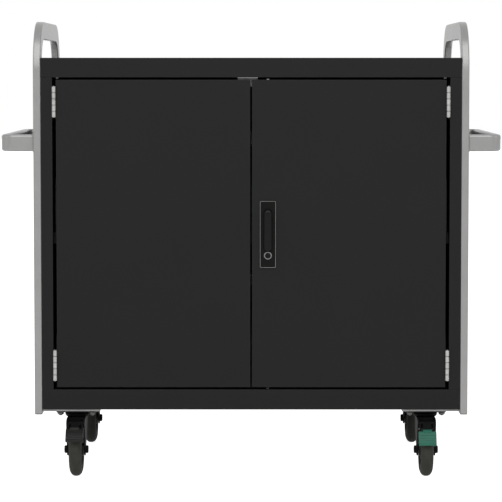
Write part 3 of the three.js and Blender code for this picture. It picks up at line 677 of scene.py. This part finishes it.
def louvre_section(face, sign, top, share):
    """A hood's section, from the wall above a slot out and down to its open lower lip, and back inside."""
    bottom = top - VENT_HEIGHT
    rise = VENT_HEIGHT + LOUVRE_RISE
    reach = LOUVRE_REACH * share
    inner = max(reach - LOUVRE_SKIN, LOUVRE_LEAST)
    angles = [pi / 2 * i / LOUVRE_STEPS for i in range(LOUVRE_STEPS + 1)]
    section = [(face + sign * reach * sin(a), bottom + rise * cos(a)) for a in angles]
    for a in reversed(angles):
        section.append((face + sign * inner * sin(a), bottom + (rise - LOUVRE_ROOT) * cos(a)))
    return section


def louvre_column(mesh, axis, middle, face, sign):
    """A column of pressed hoods that run along an axis, over the vent slots of a wall."""
    half = VENT_LENGTH / 2 + LOUVRE_MARGIN
    stations = [(inset - half, share) for inset, share in LOUVRE_ENDS]
    stations += [(half - inset, share) for inset, share in reversed(LOUVRE_ENDS)]
    for row in range(VENT_ROWS):
        top = VENT_TOP - row * VENT_PITCH
        rings = []
        for along, share in stations:
            rings.append(place(axis, louvre_section(face, sign, top, share), middle + along))
        loft(mesh, rings)


def add_louvres():
    mesh = bmesh.new()
    for x in REAR_VENTS:
        louvre_column(mesh, "x", x, box("rear_panel")[1].y - LOUVRE_SINK, 1)
    piece("rear_louvres", mesh, "black_paint", rides_with="rear_panel")
    for side, sign in SIDES.items():
        wall = f"{side}_side_panel"
        mesh = bmesh.new()
        louvre_column(mesh, "y", 0, outer_face(wall, sign) - sign * LOUVRE_SINK, sign)
        piece(f"{side}_louvres", mesh, "black_paint", rides_with=wall)


def u_path(points, bend):
    """A path through four corners of a U, with its two inner corners bent to a radius."""
    start, first, second, end = (Vector(point) for point in points)
    path = [(start, (first - start).normalized())]
    for before, corner, after in ((start, first, second), (first, second, end)):
        arriving = (corner - before).normalized()
        leaving = (after - corner).normalized()
        centre = corner - arriving * bend + leaving * bend
        for i in range(BEND_STEPS + 1):
            angle = pi / 2 * i / BEND_STEPS
            point = centre + arriving * (bend * sin(angle)) - leaving * (bend * cos(angle))
            path.append((point, arriving * cos(angle) + leaving * sin(angle)))
    path.append((end, (end - second).normalized()))
    return path


def add_tube(node, corners, bend, section, across):
    mesh = bmesh.new()
    sweep(mesh, u_path(corners, bend), section, Vector(across))
    piece(f"{node}_tube", mesh, "grey_paint", [node])


def add_end_frame(side):
    node = f"{side}_end_frame"
    low, high = box(node)
    x = (low.x + high.x) / 2
    half = FRAME_BAND / 2
    legs = (low.y + half, high.y - half)
    bar = high.z - half
    corners = [(x, legs[0], low.z), (x, legs[0], bar), (x, legs[1], bar), (x, legs[1], low.z)]
    section = rounded_about((0, 0), FRAME_BAND, TUBE_WIDTH, FRAME_CORNER)
    add_tube(node, corners, FRAME_BEND - half, section, (1, 0, 0))

    plugs = bmesh.new()
    for y in legs:
        outline = rounded_about((x, y), TUBE_WIDTH - PLUG_GAP, FRAME_BAND - PLUG_GAP, FRAME_CORNER)
        plate(plugs, "z", outline, low.z - PLUG_LIP, low.z + PLUG_LIP, THICK_EDGE)
    piece(f"{node}_plugs", plugs, "black_plastic", rides_with=node)


def add_push_handle(side):
    node = f"{side}_push_handle"
    low, high = box(node)
    sign = SIDES[side]
    half = TUBE_WIDTH / 2
    band = high.z - low.z
    z = (low.z + high.z) / 2
    arms = (low.y + half, high.y - half)
    foot = sign * min(abs(low.x), abs(high.x))
    bar = outer_face(node, sign) - sign * half
    corners = [(foot, arms[0], z), (bar, arms[0], z), (bar, arms[1], z), (foot, arms[1], z)]
    section = rounded_about((0, 0), TUBE_WIDTH, band, HANDLE_CORNER)
    add_tube(node, corners, HANDLE_BEND - half, section, (0, 0, 1))

    welds = bmesh.new()
    for y in arms:
        outline = rounded_about((y, z), TUBE_WIDTH, band, HANDLE_CORNER)
        weld_bead(welds, place("x", outline, foot + sign * WELD_RADIUS / 2), Vector((foot, y, z)))
    piece(f"{node}_welds", welds, "grey_paint", rides_with=node)


def weld_bead(mesh, around, centre):
    """A flattened bead along a closed line of points, in a plane across X."""
    lift = Vector((1, 0, 0))
    circle = ring((0, 0), WELD_RADIUS, WELD_SIDES)
    rings = []
    for i, point in enumerate(around):
        along = (around[(i + 1) % len(around)] - around[i - 1]).normalized()
        out = along.cross(lift)
        if out.dot(point - centre) < 0:
            out = -out
        rings.append([point + out * u + lift * v * WELD_FLATNESS for u, v in circle])
    loft(mesh, rings, loop=True)


def screw(mesh, head, axis, centre, face, sign, radius):
    """A screw's head with its socket, standing on a face."""
    sides, profile = SCREW_HEADS[head]
    points = [(radius * share, face + sign * height) for share, height in profile]
    turn(mesh, axis, centre, points, sides=sides)


def add_leg_screws(side):
    node = f"{side}_end_frame"
    low, high = box(node)
    sign = SIDES[side]
    face = outer_face(node, sign)
    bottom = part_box("base_pan")[0][2] + LEG_SCREW_INSET
    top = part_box("top_panel")[1][2] - LEG_SCREW_INSET
    mesh = bmesh.new()
    for y in (low.y + FRAME_BAND / 2, high.y - FRAME_BAND / 2):
        for i in range(LEG_SCREWS):
            z = bottom + (top - bottom) * i / (LEG_SCREWS - 1)
            screw(mesh, "flush", "x", (y, z), face, sign, LEG_SCREW_RADIUS)
    piece(f"{node}_screws", mesh, "zinc", rides_with=node)


def knuckle(mesh, centre, low, high):
    bore = PIN_RADIUS + RUNNING_GAP / 2
    profile = [(bore, low), *chamfered(KNUCKLE_RADIUS, KNUCKLE_EDGE, low, high), (bore, high)]
    turn(mesh, "z", centre, profile, loop=True, sides=KNUCKLE_SIDES)


def add_hinge(side, level):
    """Two leaves that own every second knuckle. The pin is staked in the frame's leaf."""
    sign = SIDES[side]
    centre = joints[f"{side}_door_hinge"]["pos_m"][:2]
    label = f"{side}_{level}_hinge"
    low, high = box(f"{label}_frame_leaf")
    bottom = low.z + PIN_OVERHANG
    pitch = (high.z - low.z - 2 * PIN_OVERHANG) / KNUCKLES
    behind = centre[1] + LEAF_BEHIND
    for leaf, away, first in (("frame_leaf", sign, 0), ("door_leaf", -sign, 1)):
        node = f"{label}_{leaf}"
        back = box(node)[1].y
        inner = centre[0] + away * (HINGE_GAP / 2 - LEAF)
        outer = centre[0] + away * HINGE_GAP / 2
        left, right = sorted((inner, outer))
        mesh = bmesh.new()
        block(mesh, (left, behind, bottom), (right, back, bottom + KNUCKLES * pitch), LEAF_EDGE)
        for k in range(first, KNUCKLES, 2):
            z0 = bottom + k * pitch + RUNNING_GAP / 2
            z1 = bottom + (k + 1) * pitch - RUNNING_GAP / 2
            knuckle(mesh, centre, z0, z1)
            block(mesh, (left, centre[1] + PIN_RADIUS, z0), (right, behind + LEAF, z1), LEAF_EDGE)
        if leaf == "frame_leaf":
            turn(mesh, "z", centre, chamfered(PIN_RADIUS, PIN_EDGE, low.z, high.z), sides=PIN_SIDES)
        piece(f"{node}_fine", mesh, "zinc", [node])


def add_lock_rim():
    low, high = box("lock_escutcheon")
    rings = []
    for inset, corner, behind in RIM_RINGS:
        outline = rounded((low.x + inset, low.z + inset), (high.x - inset, high.z - inset), corner)
        rings.append(place("y", outline, low.y + behind))
    mesh = bmesh.new()
    loft(mesh, rings, loop=True)
    piece("lock_rim", mesh, "lock_chrome", rides_with="lock_escutcheon")


def add_lever():
    """A rounded bar, thin at its tip, whose head is hollow behind for the spindle's tongue."""
    low, high = box("lock_lever")
    x = (low.x + high.x) / 2
    half = (high.x - low.x) / 2
    pivot_y, pivot_z = joints["handle_lift"]["pos_m"][1:]
    radius = high.z - pivot_z
    back = high.y
    slot_bottom = pivot_z - LEVER_SLOT_DEPTH
    gap = LEVER_SLOT / 2
    arch = high.z - half
    head_top = arch + sqrt(half ** 2 - (gap + LEVER_END) ** 2)
    crown = pivot_z - LEVER_CROWN
    tip = low.z + half

    def outer_half(z):
        if z > arch:
            return sqrt(half ** 2 - (z - arch) ** 2)
        if z < tip:
            roundness = sqrt(max(1 - ((tip - z) / half) ** 2, 0))
            return half * (LEVER_TIP_WIDTH + (1 - LEVER_TIP_WIDTH) * roundness)
        return half

    def depths(z):
        """The front falls back over the crown, and thins from there to the tip."""
        rear = pivot_y + sqrt(radius ** 2 - max(z - pivot_z, 0) ** 2)
        if z > crown:
            share = (z - crown) / (high.z - crown)
            return pivot_y - radius * sqrt(1 - share ** 2), rear
        share = (crown - z) / (crown - low.z)
        return back - 2 * radius + share * (2 * radius - LEVER_TIP), rear

    def station(z, hollow):
        front, rear = depths(z)
        outer = outer_half(z)
        corner = min(LEVER_CORNER, outer * LEVER_CORNER_WIDTH, (rear - front) * LEVER_CORNER_DEPTH)
        section = [(x + outer, rear)]
        section += arc((x + outer - corner, front + corner), corner, 0, -90)
        section += arc((x - outer + corner, front + corner), corner, 270, 180)
        section += [(x - outer, rear)]
        if hollow:
            eye = sqrt(max((radius - LEVER_EYE_GAP) ** 2 - (z - pivot_z) ** 2, 0))
            web = max(pivot_y - eye, front + LEVER_WEB)
            section += [(x - gap, rear), (x - gap, web), (x + gap, web), (x + gap, rear)]
        return place("z", section, z)

    mesh = bmesh.new()
    shares = [i / LEVER_STEPS for i in range(LEVER_STEPS + 1)]
    loft(mesh, [station(low.z + (slot_bottom - low.z) * s, False) for s in shares])
    loft(mesh, [station(slot_bottom + (head_top - slot_bottom) * sin(pi / 2 * s), True) for s in shares])
    pin_ends = (low.x + LEVER_PIN_INSET, high.x - LEVER_PIN_INSET)
    rod(mesh, "x", (pivot_y, pivot_z), LEVER_PIN, *pin_ends, SCREW_SIDES)
    piece("lock_lever_fine", mesh, "lock_black", ["lock_lever"])

    dot = bmesh.new()
    front = depths(crown)[0]
    cap = [(r, front + behind) for r, behind in LEVER_CAP]
    turn(dot, "y", (x, crown - LEVER_CAP_DROP), cap, sides=PIN_SIDES)
    # The cap's dark dot is the dish's painted-shade finish
    piece("lock_lever_pin_cap", dot, "lock_black", rides_with="lock_lever", look="lock_dish")


def add_key_cylinder():
    """A bright ring and sleeve, with a dark plug and its keyway inside."""
    low, high = box("key_cylinder")
    centre = ((low.x + high.x) / 2, (low.z + high.z) / 2)
    front = low.y

    def disc(radius, y):
        return place("y", rounded_about(centre, 2 * radius, 2 * radius, radius), y)

    sleeve = [disc(radius, front + behind) for radius, behind in KEY_SLEEVE]
    sleeve += [disc(KEY_SLEEVE[-1][0], high.y), disc(KEY_SLEEVE[0][0], high.y)]
    ring_mesh = bmesh.new()
    loft(ring_mesh, sleeve, loop=True)
    piece("key_cylinder_ring", ring_mesh, "lock_chrome", ["key_cylinder"])

    keyway = rounded_about(centre, *KEYWAY)
    plug = [place("y", keyway, front + depth) for depth in KEYWAY_DEPTHS]
    plug += [disc(radius, front + behind) for radius, behind in KEY_PLUG]
    plug_mesh = bmesh.new()
    loft(plug_mesh, plug)
    piece("key_cylinder_plug", plug_mesh, "lock_chrome", rides_with="key_cylinder", look="lock_black")


def add_lock_rods():
    """Two chamfered rods. The lower one ends in a cap, which shows under the door."""
    for node in ("upper_lock_rod", "lower_lock_rod"):
        low, high = box(node)
        centre = ((low.x + high.x) / 2, (low.y + high.y) / 2)
        radius = (high.x - low.x) / 2
        mesh = bmesh.new()
        turn(mesh, "z", centre, chamfered(radius, ROD_EDGE, low.z, high.z), sides=PIN_SIDES)
        piece(f"{node}_fine", mesh, "zinc", [node])
    cap = [(radius * share + more, low.z + height) for share, more, height in ROD_CAP]
    mesh = bmesh.new()
    turn(mesh, "z", centre, cap, sides=PIN_SIDES)
    piece("lower_lock_rod_cap", mesh, "zinc", rides_with="lower_lock_rod", look="black_plastic")


def nut(mesh, axis, centre, across_flats, low, high):
    """A hexagon with its outer corners turned down at the high end."""
    rings = []
    for share, along in ((1, low), (1, high - NUT_CHAMFER * (high - low)), (NUT_FACE, high)):
        rings.append(place(axis, ring(centre, across_flats * share / sqrt(3), 6), along))
    loft(mesh, rings)


def add_caster(label):
    """Pieces are drawn about the kingpin, trailing towards -Y, then moved to the caster's place."""
    kingpin = joints[f"{label}_swivel"]["pos_m"]
    roll = joints[f"{label}_roll"]["pos_m"]
    turn_round = Matrix.Rotation(pi if CASTERS[label] > 0 else 0, 4, "Z")
    to_place = Matrix.Translation((kingpin[0], kingpin[1], 0)) @ turn_round
    plate_low, plate_high = box(f"{label}_caster_plate")
    tyre_low, tyre_high = box(f"{label}_tyre")
    caster = SimpleNamespace(
        axle_z=roll[2],
        axle=(-abs(roll[1] - kingpin[1]), roll[2]),
        top=plate_high.z,
        plate_x=plate_high.x - plate_low.x,
        plate_y=plate_high.y - plate_low.y,
        tyre_half=(tyre_high.x - tyre_low.x) / 2,
        crown=2 * roll[2] + CROWN_RISE,
        race_top=box(f"{label}_fork")[1].z,
        pivot=None,
    )
    pedal = joints.get(f"{label}_brake")
    if pedal:
        caster.pivot = (-abs(pedal["pos_m"][1] - kingpin[1]), pedal["pos_m"][2])

    def put(name, draw, slot, replaces=(), rides_with=None, look=None, tipped=Matrix()):
        mesh = bmesh.new()
        draw(mesh, caster)
        for matrix in (tipped, to_place):
            bmesh.ops.transform(mesh, matrix=matrix, verts=mesh.verts)
        piece(f"{label}_{name}", mesh, slot, replaces, rides_with, look)

    mount = f"{label}_caster_plate"
    put("caster_plate_fine", caster_plate, "caster_steel", [mount])
    # The plate bolts take a darkened zinc, painted shade under the plates
    put("plate_bolts", plate_bolts, "zinc", rides_with=mount, look="bolt_zinc")
    put("fork_fine", fork, "caster_steel", [f"{label}_fork"])
    put("axle_fine", axle, "caster_steel", [f"{label}_axle"])
    put("wheel_fine", wheel, "black_plastic", [f"{label}_wheel"])
    put("tyre_fine", tyre, "tyre_rubber", [f"{label}_tyre"])
    if pedal:
        node = f"{label}_brake_pedal"
        raised = Matrix.Rotation(-radians(pedal["range_deg"][1] - PEDAL_PRESS), 4, "X")
        about = Matrix.Translation((0, *caster.pivot))
        tipped = about @ raised @ about.inverted()
        put("brake_pedal_tread", pedal_tread, slot_of[node], [node], tipped=tipped)
        put("brake_pedal_arm", pedal_arm, "caster_steel", rides_with=node, tipped=tipped)
    put("wheel_guard", wheel_guard, "caster_steel", rides_with=f"{label}_fork")


def caster_plate(mesh, caster):
    """The top plate, the upper race under it, and the kingpin with its nut."""
    top = caster.top
    under = top - PLATE
    outline = rounded_about((0, 0), caster.plate_x, caster.plate_y, PLATE_CORNER)
    plate(mesh, "z", outline, under, top, THICK_EDGE)
    race = [
        (RACE_RADIUS - RACE_EDGE, under),
        (RACE_RADIUS, under - RACE_EDGE),
        (RACE_RADIUS, caster.race_top + RACE_RIM_DEPTH),
        (RACE_RADIUS - RACE_RIM, caster.race_top + RUNNING_GAP),
    ]
    turn(mesh, "z", (0, 0), race)
    head_top = caster.crown - RUNNING_GAP
    rod(mesh, "z", (0, 0), KINGPIN_RADIUS, head_top - KINGPIN_ROOT, top - KINGPIN_END)
    nut(mesh, "z", (0, 0), KINGPIN_HEX, head_top, head_top - KINGPIN_HEAD)


def plate_bolts(mesh, caster):
    under = caster.top - PLATE
    for x in (-PLATE_BOLT_X, PLATE_BOLT_X):
        for y in (-PLATE_BOLT_Y, PLATE_BOLT_Y):
            rod(mesh, "z", (x, y), BOLT_WASHER_RADIUS, under, under - WASHER)
            nut(mesh, "z", (x, y), BOLT_HEX, under - WASHER, under - BOLT_HEAD)
            end = [(radius, under - BOLT_HEAD - below) for radius, below in BOLT_END]
            turn(mesh, "z", (x, y), end, sides=SCREW_SIDES)


def fork_outline(caster):
    """The leg's outline in (y, z), from the back of the crown round by the nose and the axle eye."""
    crown = caster.crown
    top = crown + FORK_PLATE
    outline = [(FORK_BACK, crown - FORK_PLATE), (FORK_BACK, top)]
    if caster.pivot:
        pivot = caster.pivot
        outline += [(pivot[0] + PEDAL_EAR, top)]
        outline += arc(pivot, PEDAL_EAR, 90, 200)
    else:
        outline += arc((-FORK_FRONT + FORK_NOSE, top - FORK_NOSE), FORK_NOSE, 90, 180)
    outline += arc(caster.axle, FORK_EYE, 170, 370, SWEEP_STEPS)
    foot, head = Vector(outline[-1]), Vector(outline[0])
    outward = Vector((head.y - foot.y, foot.x - head.x)).normalized()
    for i in range(1, CORNER_STEPS):
        share = i / CORNER_STEPS
        bulge = FORK_BULGE * 4 * share * (1 - share)
        outline.append(tuple(foot.lerp(head, share) + outward * bulge))
    return outline


def fork(mesh, caster):
    """Two legs, the crown that joins them, and the lower race on it."""
    outer = FORK_HALF
    inner = outer - FORK_PLATE
    crown = caster.crown
    outline = fork_outline(caster)
    for side in (-1, 1):
        plate(mesh, "x", outline, *sorted((side * inner, side * outer)), PLATE_EDGE)
    low = (FORK_TUCK - outer, FORK_TUCK - FORK_FRONT, crown)
    high = (outer - FORK_TUCK, FORK_BACK - FORK_TUCK, crown + FORK_PLATE - FORK_TUCK)
    block(mesh, low, high, CROWN_EDGE)
    race = [
        (RACE_BORE, crown + FORK_PLATE / 2),
        (RACE_RADIUS - RACE_FOOT, crown + FORK_PLATE / 2),
        (RACE_RADIUS, crown + FORK_PLATE + RACE_RIM),
        (RACE_RADIUS, caster.race_top - RACE_RIM_DEPTH),
        (RACE_RADIUS - RACE_RIM, caster.race_top),
        (RACE_BORE, caster.race_top),
    ]
    turn(mesh, "z", (0, 0), race, loop=True)


def axle(mesh, caster):
    centre = caster.axle
    seat = FORK_HALF + RUNNING_GAP
    rod(mesh, "x", centre, AXLE_RADIUS, -seat - AXLE_STANDS, seat + AXLE_STANDS)
    for side in (-1, 1):
        nut_seat = side * (seat + WASHER)
        rod(mesh, "x", centre, AXLE_WASHER_RADIUS, side * seat, nut_seat, KNUCKLE_SIDES)
        nut(mesh, "x", centre, AXLE_HEX, nut_seat, nut_seat + side * AXLE_NUT)


def wheel(mesh, caster):
    """A hub, a thin web with ribs and a rim, the same on both sides."""
    centre = caster.axle
    rim = caster.tyre_half - RIM_INSET
    outer = caster.axle_z - WHEEL_DEPTH
    half = [*HUB, *((outer - inset, w) for inset, w in RIM), (outer - RIM_WALL, rim), (outer, rim)]
    profile = [(r, -w) for r, w in half] + [(r, w) for r, w in reversed(half)]
    turn(mesh, "x", centre, profile, loop=True, sides=WHEEL_SIDES)
    near, far = RIB_START, outer - RIB_END
    rib = [(near, -RIB_HALF), (far, -RIB_HALF), (far, RIB_HALF), (near, RIB_HALF)]
    for i in range(RIBS):
        angle = 2 * pi * i / RIBS
        turned = [
            (centre[0] + u * cos(angle) - v * sin(angle), centre[1] + u * sin(angle) + v * cos(angle))
            for u, v in rib
        ]
        plate(mesh, "x", turned, -rim + RIB_INSET, rim - RIB_INSET, THIN_EDGE)


def tyre(mesh, caster):
    """A crowned tread with a parting line, whose half width falls away towards the floor."""
    radius = caster.axle_z
    seat = radius - TREAD_SEAT
    start = radius - TREAD_DEPTH
    half = caster.tyre_half
    side = [(seat, half - RIM_INSET)]
    for i in range(TREAD_STEPS + 1):
        share = sin(pi / 2 * i / TREAD_STEPS)
        r = start + (radius - start) * share
        if r > seat + TREAD_STEP:
            side.append((r, half * (1 - share ** TREAD_POWER) ** (1 / TREAD_POWER)))
    side[-1] = (radius - TREAD_LINE, 0)
    side.insert(-1, (radius, TREAD_LINE))
    profile = [(r, -w) for r, w in side] + [(r, w) for r, w in reversed(side[:-1])]
    turn(mesh, "x", caster.axle, profile, loop=True, sides=TYRE_SIDES)


def pedal_band(caster, low, high, inner, outer, steps):
    """A band of the pedal's curve about the axle, between two angles."""
    centre = caster.axle
    return arc(centre, outer, 180 - low, 180 - high, steps) + arc(centre, inner, 180 - high, 180 - low, steps)


def pedal_point(caster, angle, radius):
    return arc(caster.axle, radius, 180 - angle, 180 - angle, 1)[0]


def pedal_tread(mesh, caster):
    """The moulded tread that a foot presses, with a rolled lip, ribs and a raised block at the top."""
    inner = caster.axle_z + PEDAL_CLEAR
    outer = inner + PEDAL_PLATE
    floor, face = inner + PEDAL_SKIN, outer - PEDAL_SKIN
    low, high = PEDAL_ANGLES
    band = pedal_band(caster, low, high, inner, face, PEDAL_STEPS)
    plate(mesh, "x", band, -PEDAL_HALF, PEDAL_HALF, PEDAL_EDGE)
    lip = pedal_point(caster, low + PEDAL_LIP_ANGLE, (inner + outer) / 2)
    turn(mesh, "x", lip, PEDAL_LIP, sides=PIN_SIDES)
    for above in PEDAL_RIBS:
        start = low + above
        rib = pedal_band(caster, start, start + PEDAL_RIB, floor, outer, PEDAL_RIB_STEPS)
        plate(mesh, "x", rib, -PEDAL_RIB_HALF, PEDAL_RIB_HALF)
    heel, toe, back, front = pedal_band(caster, high - PEDAL_TAB, high + PEDAL_TAB, floor, face, 1)
    brow = (heel[0] + PEDAL_TAB_LEAN, toe[1] - PEDAL_TAB_DROP)
    plate(mesh, "x", [front, heel, brow, toe, back], -PEDAL_TAB_HALF, PEDAL_TAB_HALF, THICK_EDGE)


def pedal_arm(mesh, caster):
    """The steel arm behind the tread, its cheeks, and the barrel and pin that it turns on."""
    pivot = caster.pivot
    inner = caster.axle_z + PEDAL_CLEAR
    face = inner + PEDAL_ARM
    high = PEDAL_ANGLES[1]
    lower, upper = (pedal_point(caster, high + angle, face) for angle in PEDAL_NECK_ANGLES)
    arm = [lower, upper, *((pivot[0] + y, pivot[1] + z) for y, z in PEDAL_ARM_END)]
    plate(mesh, "x", arm, -PEDAL_NECK / 2, PEDAL_NECK / 2, PEDAL_ARM_EDGE)
    cheek = [
        pedal_point(caster, high - PEDAL_CHEEK_ANGLE, inner + PEDAL_CHEEK_SINK),
        pedal_point(caster, high - PEDAL_CHEEK_ANGLE, face),
        pedal_point(caster, high, face),
        *((pivot[0] + y, pivot[1] + z) for y, z in PEDAL_CHEEK_END),
    ]
    for side in (-1, 1):
        faces = sorted((side * PEDAL_CHEEK, side * (PEDAL_CHEEK + PEDAL_CHEEK_PLATE)))
        plate(mesh, "x", cheek, *faces, PEDAL_ARM_EDGE)
    reach = FORK_HALF - FORK_PLATE - RUNNING_GAP
    pin_reach = reach + PEDAL_PIN_STANDS
    rod(mesh, "x", pivot, PEDAL_BARREL, -reach, reach)
    rod(mesh, "x", pivot, PEDAL_PIN, -pin_reach, pin_reach, SCREW_SIDES)


def wheel_guard(mesh, caster):
    """A curved plate between the fork legs, over the top of the tyre, with a flange under the crown."""
    inner = caster.axle_z + GUARD_CLEAR
    front = GUARD_PEDAL_FRONT if caster.pivot else GUARD_FRONT
    outline = arc(caster.axle, inner + GUARD_PLATE, GUARD_BACK, front, SWEEP_STEPS)
    outline += arc(caster.axle, inner, front, GUARD_BACK, SWEEP_STEPS)
    half = FORK_HALF - FORK_PLATE
    crown = caster.crown
    depth, height = GUARD_FLANGE
    plate(mesh, "x", outline, -half, half, THIN_EDGE)
    block(mesh, (-half, -FORK_FRONT, crown - height), (half, -FORK_FRONT + depth, crown), THIN_EDGE)


def add_rack(node):
    """A tray with upright dividers, each with a round nose towards the doors."""
    low, high = box(node)
    mesh = bmesh.new()
    block(mesh, low, (high.x, high.y, low.z + SHEET), THIN_EDGE)
    front, back = low.y + RACK_MARGIN, high.y - RACK_MARGIN
    foot = low.z + SHEET / 2
    outline = [(front, foot), (back, foot)]
    outline += arc((back - DIVIDER_HEEL, high.z - DIVIDER_HEEL), DIVIDER_HEEL, 0, 90)
    outline += arc((front + DIVIDER_NOSE, high.z - DIVIDER_NOSE), DIVIDER_NOSE, 90, 180, BEND_STEPS)
    pitch = (high.x - low.x - 2 * RACK_MARGIN - DIVIDER) / RACK_SLOTS
    for i in range(RACK_SLOTS + 1):
        left = low.x + RACK_MARGIN + i * pitch
        plate(mesh, "x", outline, left, left + DIVIDER, PLATE_EDGE)
    piece(f"{node}_fine", mesh, "divider_plastic", [node])


def add_sockets(node):
    """A row of mains sockets let into the face of a power strip, with painted shade on flat dark plates for
    their holes.
    """
    low, high = box(node)
    z = (low.z + high.z) / 2
    bodies, hole_shades = bmesh.new(), bmesh.new()
    for i in range(SOCKETS):
        x = (i - (SOCKETS - 1) / 2) * SOCKET_PITCH
        plate(bodies, "y", rounded_about((x, z), *SOCKET), low.y - SOCKET_STANDS, low.y + SOCKET_SINK)
        for dx, dz, width, height in SOCKET_HOLES:
            hole = rounded_about((x + dx, z + dz), width, height, HOLE_CORNER, SMALL_STEPS)
            # A flat dark plate over each hole, a touch proud of the socket's face: painted shade for its
            # hollow
            plate(hole_shades, "y", hole, low.y - HOLE_STANDS, low.y, HOLE_EDGE)
    piece(f"{node}_sockets", bodies, "black_plastic", rides_with=node)
    piece(f"{node}_socket_hole_shades", hole_shades, "cable", rides_with=node)


def add_rear_screws():
    low, high = box("rear_panel")
    across, up = REAR_SCREW_INSET
    mesh = bmesh.new()
    for i in range(REAR_SCREWS):
        x = low.x + across + (high.x - low.x - 2 * across) * i / (REAR_SCREWS - 1)
        for z in (low.z + up, high.z - up):
            screw(mesh, "button", "y", (x, z), high.y, 1, REAR_SCREW_RADIUS)
    piece("rear_panel_screws", mesh, "zinc", rides_with="rear_panel")


def add_inlet_fittings():
    """Three blades in the inlet's mouth, and the screws through its flange."""
    low, high = box("power_inlet")
    x, z = (low.x + high.x) / 2, (low.z + high.z) / 2
    blades = bmesh.new()
    for dx, dz in INLET_BLADES:
        outline = rounded_about((x + dx, z + dz), *BLADE, SMALL_STEPS)
        root = high.y - INLET_DEPTH - BLADE_ROOT
        plate(blades, "y", outline, root, high.y - BLADE_BEHIND, THIN_EDGE)
    piece("power_inlet_blades", blades, "zinc", rides_with="power_inlet")
    screws = bmesh.new()
    for side in (-1, 1):
        at = (x + side * ((high.x - low.x) / 2 - INLET_SCREW_INSET), z)
        screw(screws, "flush", "y", at, high.y, 1, INLET_SCREW_RADIUS)
    piece("power_inlet_screws", screws, "zinc", rides_with="power_inlet")


def add_door_buffers():
    """A soft stop for each door, under the fascia by its hinge."""
    low, high = box("top_panel")
    y = low.y + BUFFER_INSET + BUFFER_BEHIND
    profile = [(radius, low.z + height) for radius, height in BUFFER]
    for side, sign in SIDES.items():
        x = outer_face(f"{side}_door", sign) - sign * BUFFER_INSET
        mesh = bmesh.new()
        turn(mesh, "z", (x, y), profile, sides=PIN_SIDES)
        piece(f"{side}_door_buffer", mesh, "black_plastic", rides_with="top_panel", look="buffer_rubber")


def soft_light(name, location, target, size, power):
    lamp = bpy.data.lights.new(name, "AREA")
    lamp.shape = "RECTANGLE"
    lamp.size, lamp.size_y = size
    lamp.energy = power
    holder = add_object(name, lamp)
    holder.location = location
    holder.rotation_euler = (Vector(target) - Vector(location)).to_track_quat("-Z", "Y").to_euler()


def add_world():
    world = bpy.data.worlds.new("studio")
    nodes = Nodes(world)
    strength = nodes.remap(nodes.seen_directly(), AMBIENT, 1, (0, 1))
    nodes.set(nodes.tree.nodes["Background"], Color=(1, 1, 1, 1), Strength=strength)
    bpy.context.scene.world = world


def add_floor():
    corners = [(x * FLOOR_REACH, y * FLOOR_REACH, 0) for x, y in ((-1, -1), (1, -1), (1, 1), (-1, 1))]
    data = bpy.data.meshes.new("floor")
    data.from_pydata(corners, [], [range(4)])
    floor = add_object("floor", data)
    material = bpy.data.materials.new("studio_floor")
    nodes = Nodes(material)
    nodes.set(
        nodes.tree.nodes["Principled BSDF"],
        Base_Color=FLOOR_COLOUR,
        Roughness=FLOOR_ROUGH,
        Specular_IOR_Level=FLOOR_SPECULAR,
        Emission_Color=(1, 1, 1, 1),
        Emission_Strength=nodes.math("MULTIPLY", nodes.seen_directly(), FLOOR_GLOW),
    )
    data.materials.append(material)


def add_camera():
    lens = bpy.data.cameras.new("photo_camera")
    lens.lens = CAMERA_LENS
    camera = add_object("photo_camera", lens)
    camera.location = CAMERA_PLACE
    camera.rotation_euler = (radians(90 - CAMERA_TIP), 0, radians(CAMERA_TURN))
    bpy.context.scene.camera = camera


add_sheet_metal()
add_louvres()
for side in SIDES:
    add_end_frame(side)
    add_push_handle(side)
    add_leg_screws(side)
    add_hinge(side, "upper")
    add_hinge(side, "lower")
add_lock_rim()
add_lever()
add_key_cylinder()
add_lock_rods()
for label in CASTERS:
    add_caster(label)
for tier in ("lower", "upper"):
    add_rack(f"{tier}_divider_rack")
    add_sockets(f"{tier}_power_strip")
add_rear_screws()
add_inlet_fittings()
add_door_buffers()
add_world()
add_floor()
for light in LIGHTS:
    soft_light(*light)
add_camera()
bpy.context.scene.view_settings.view_transform = "Standard"
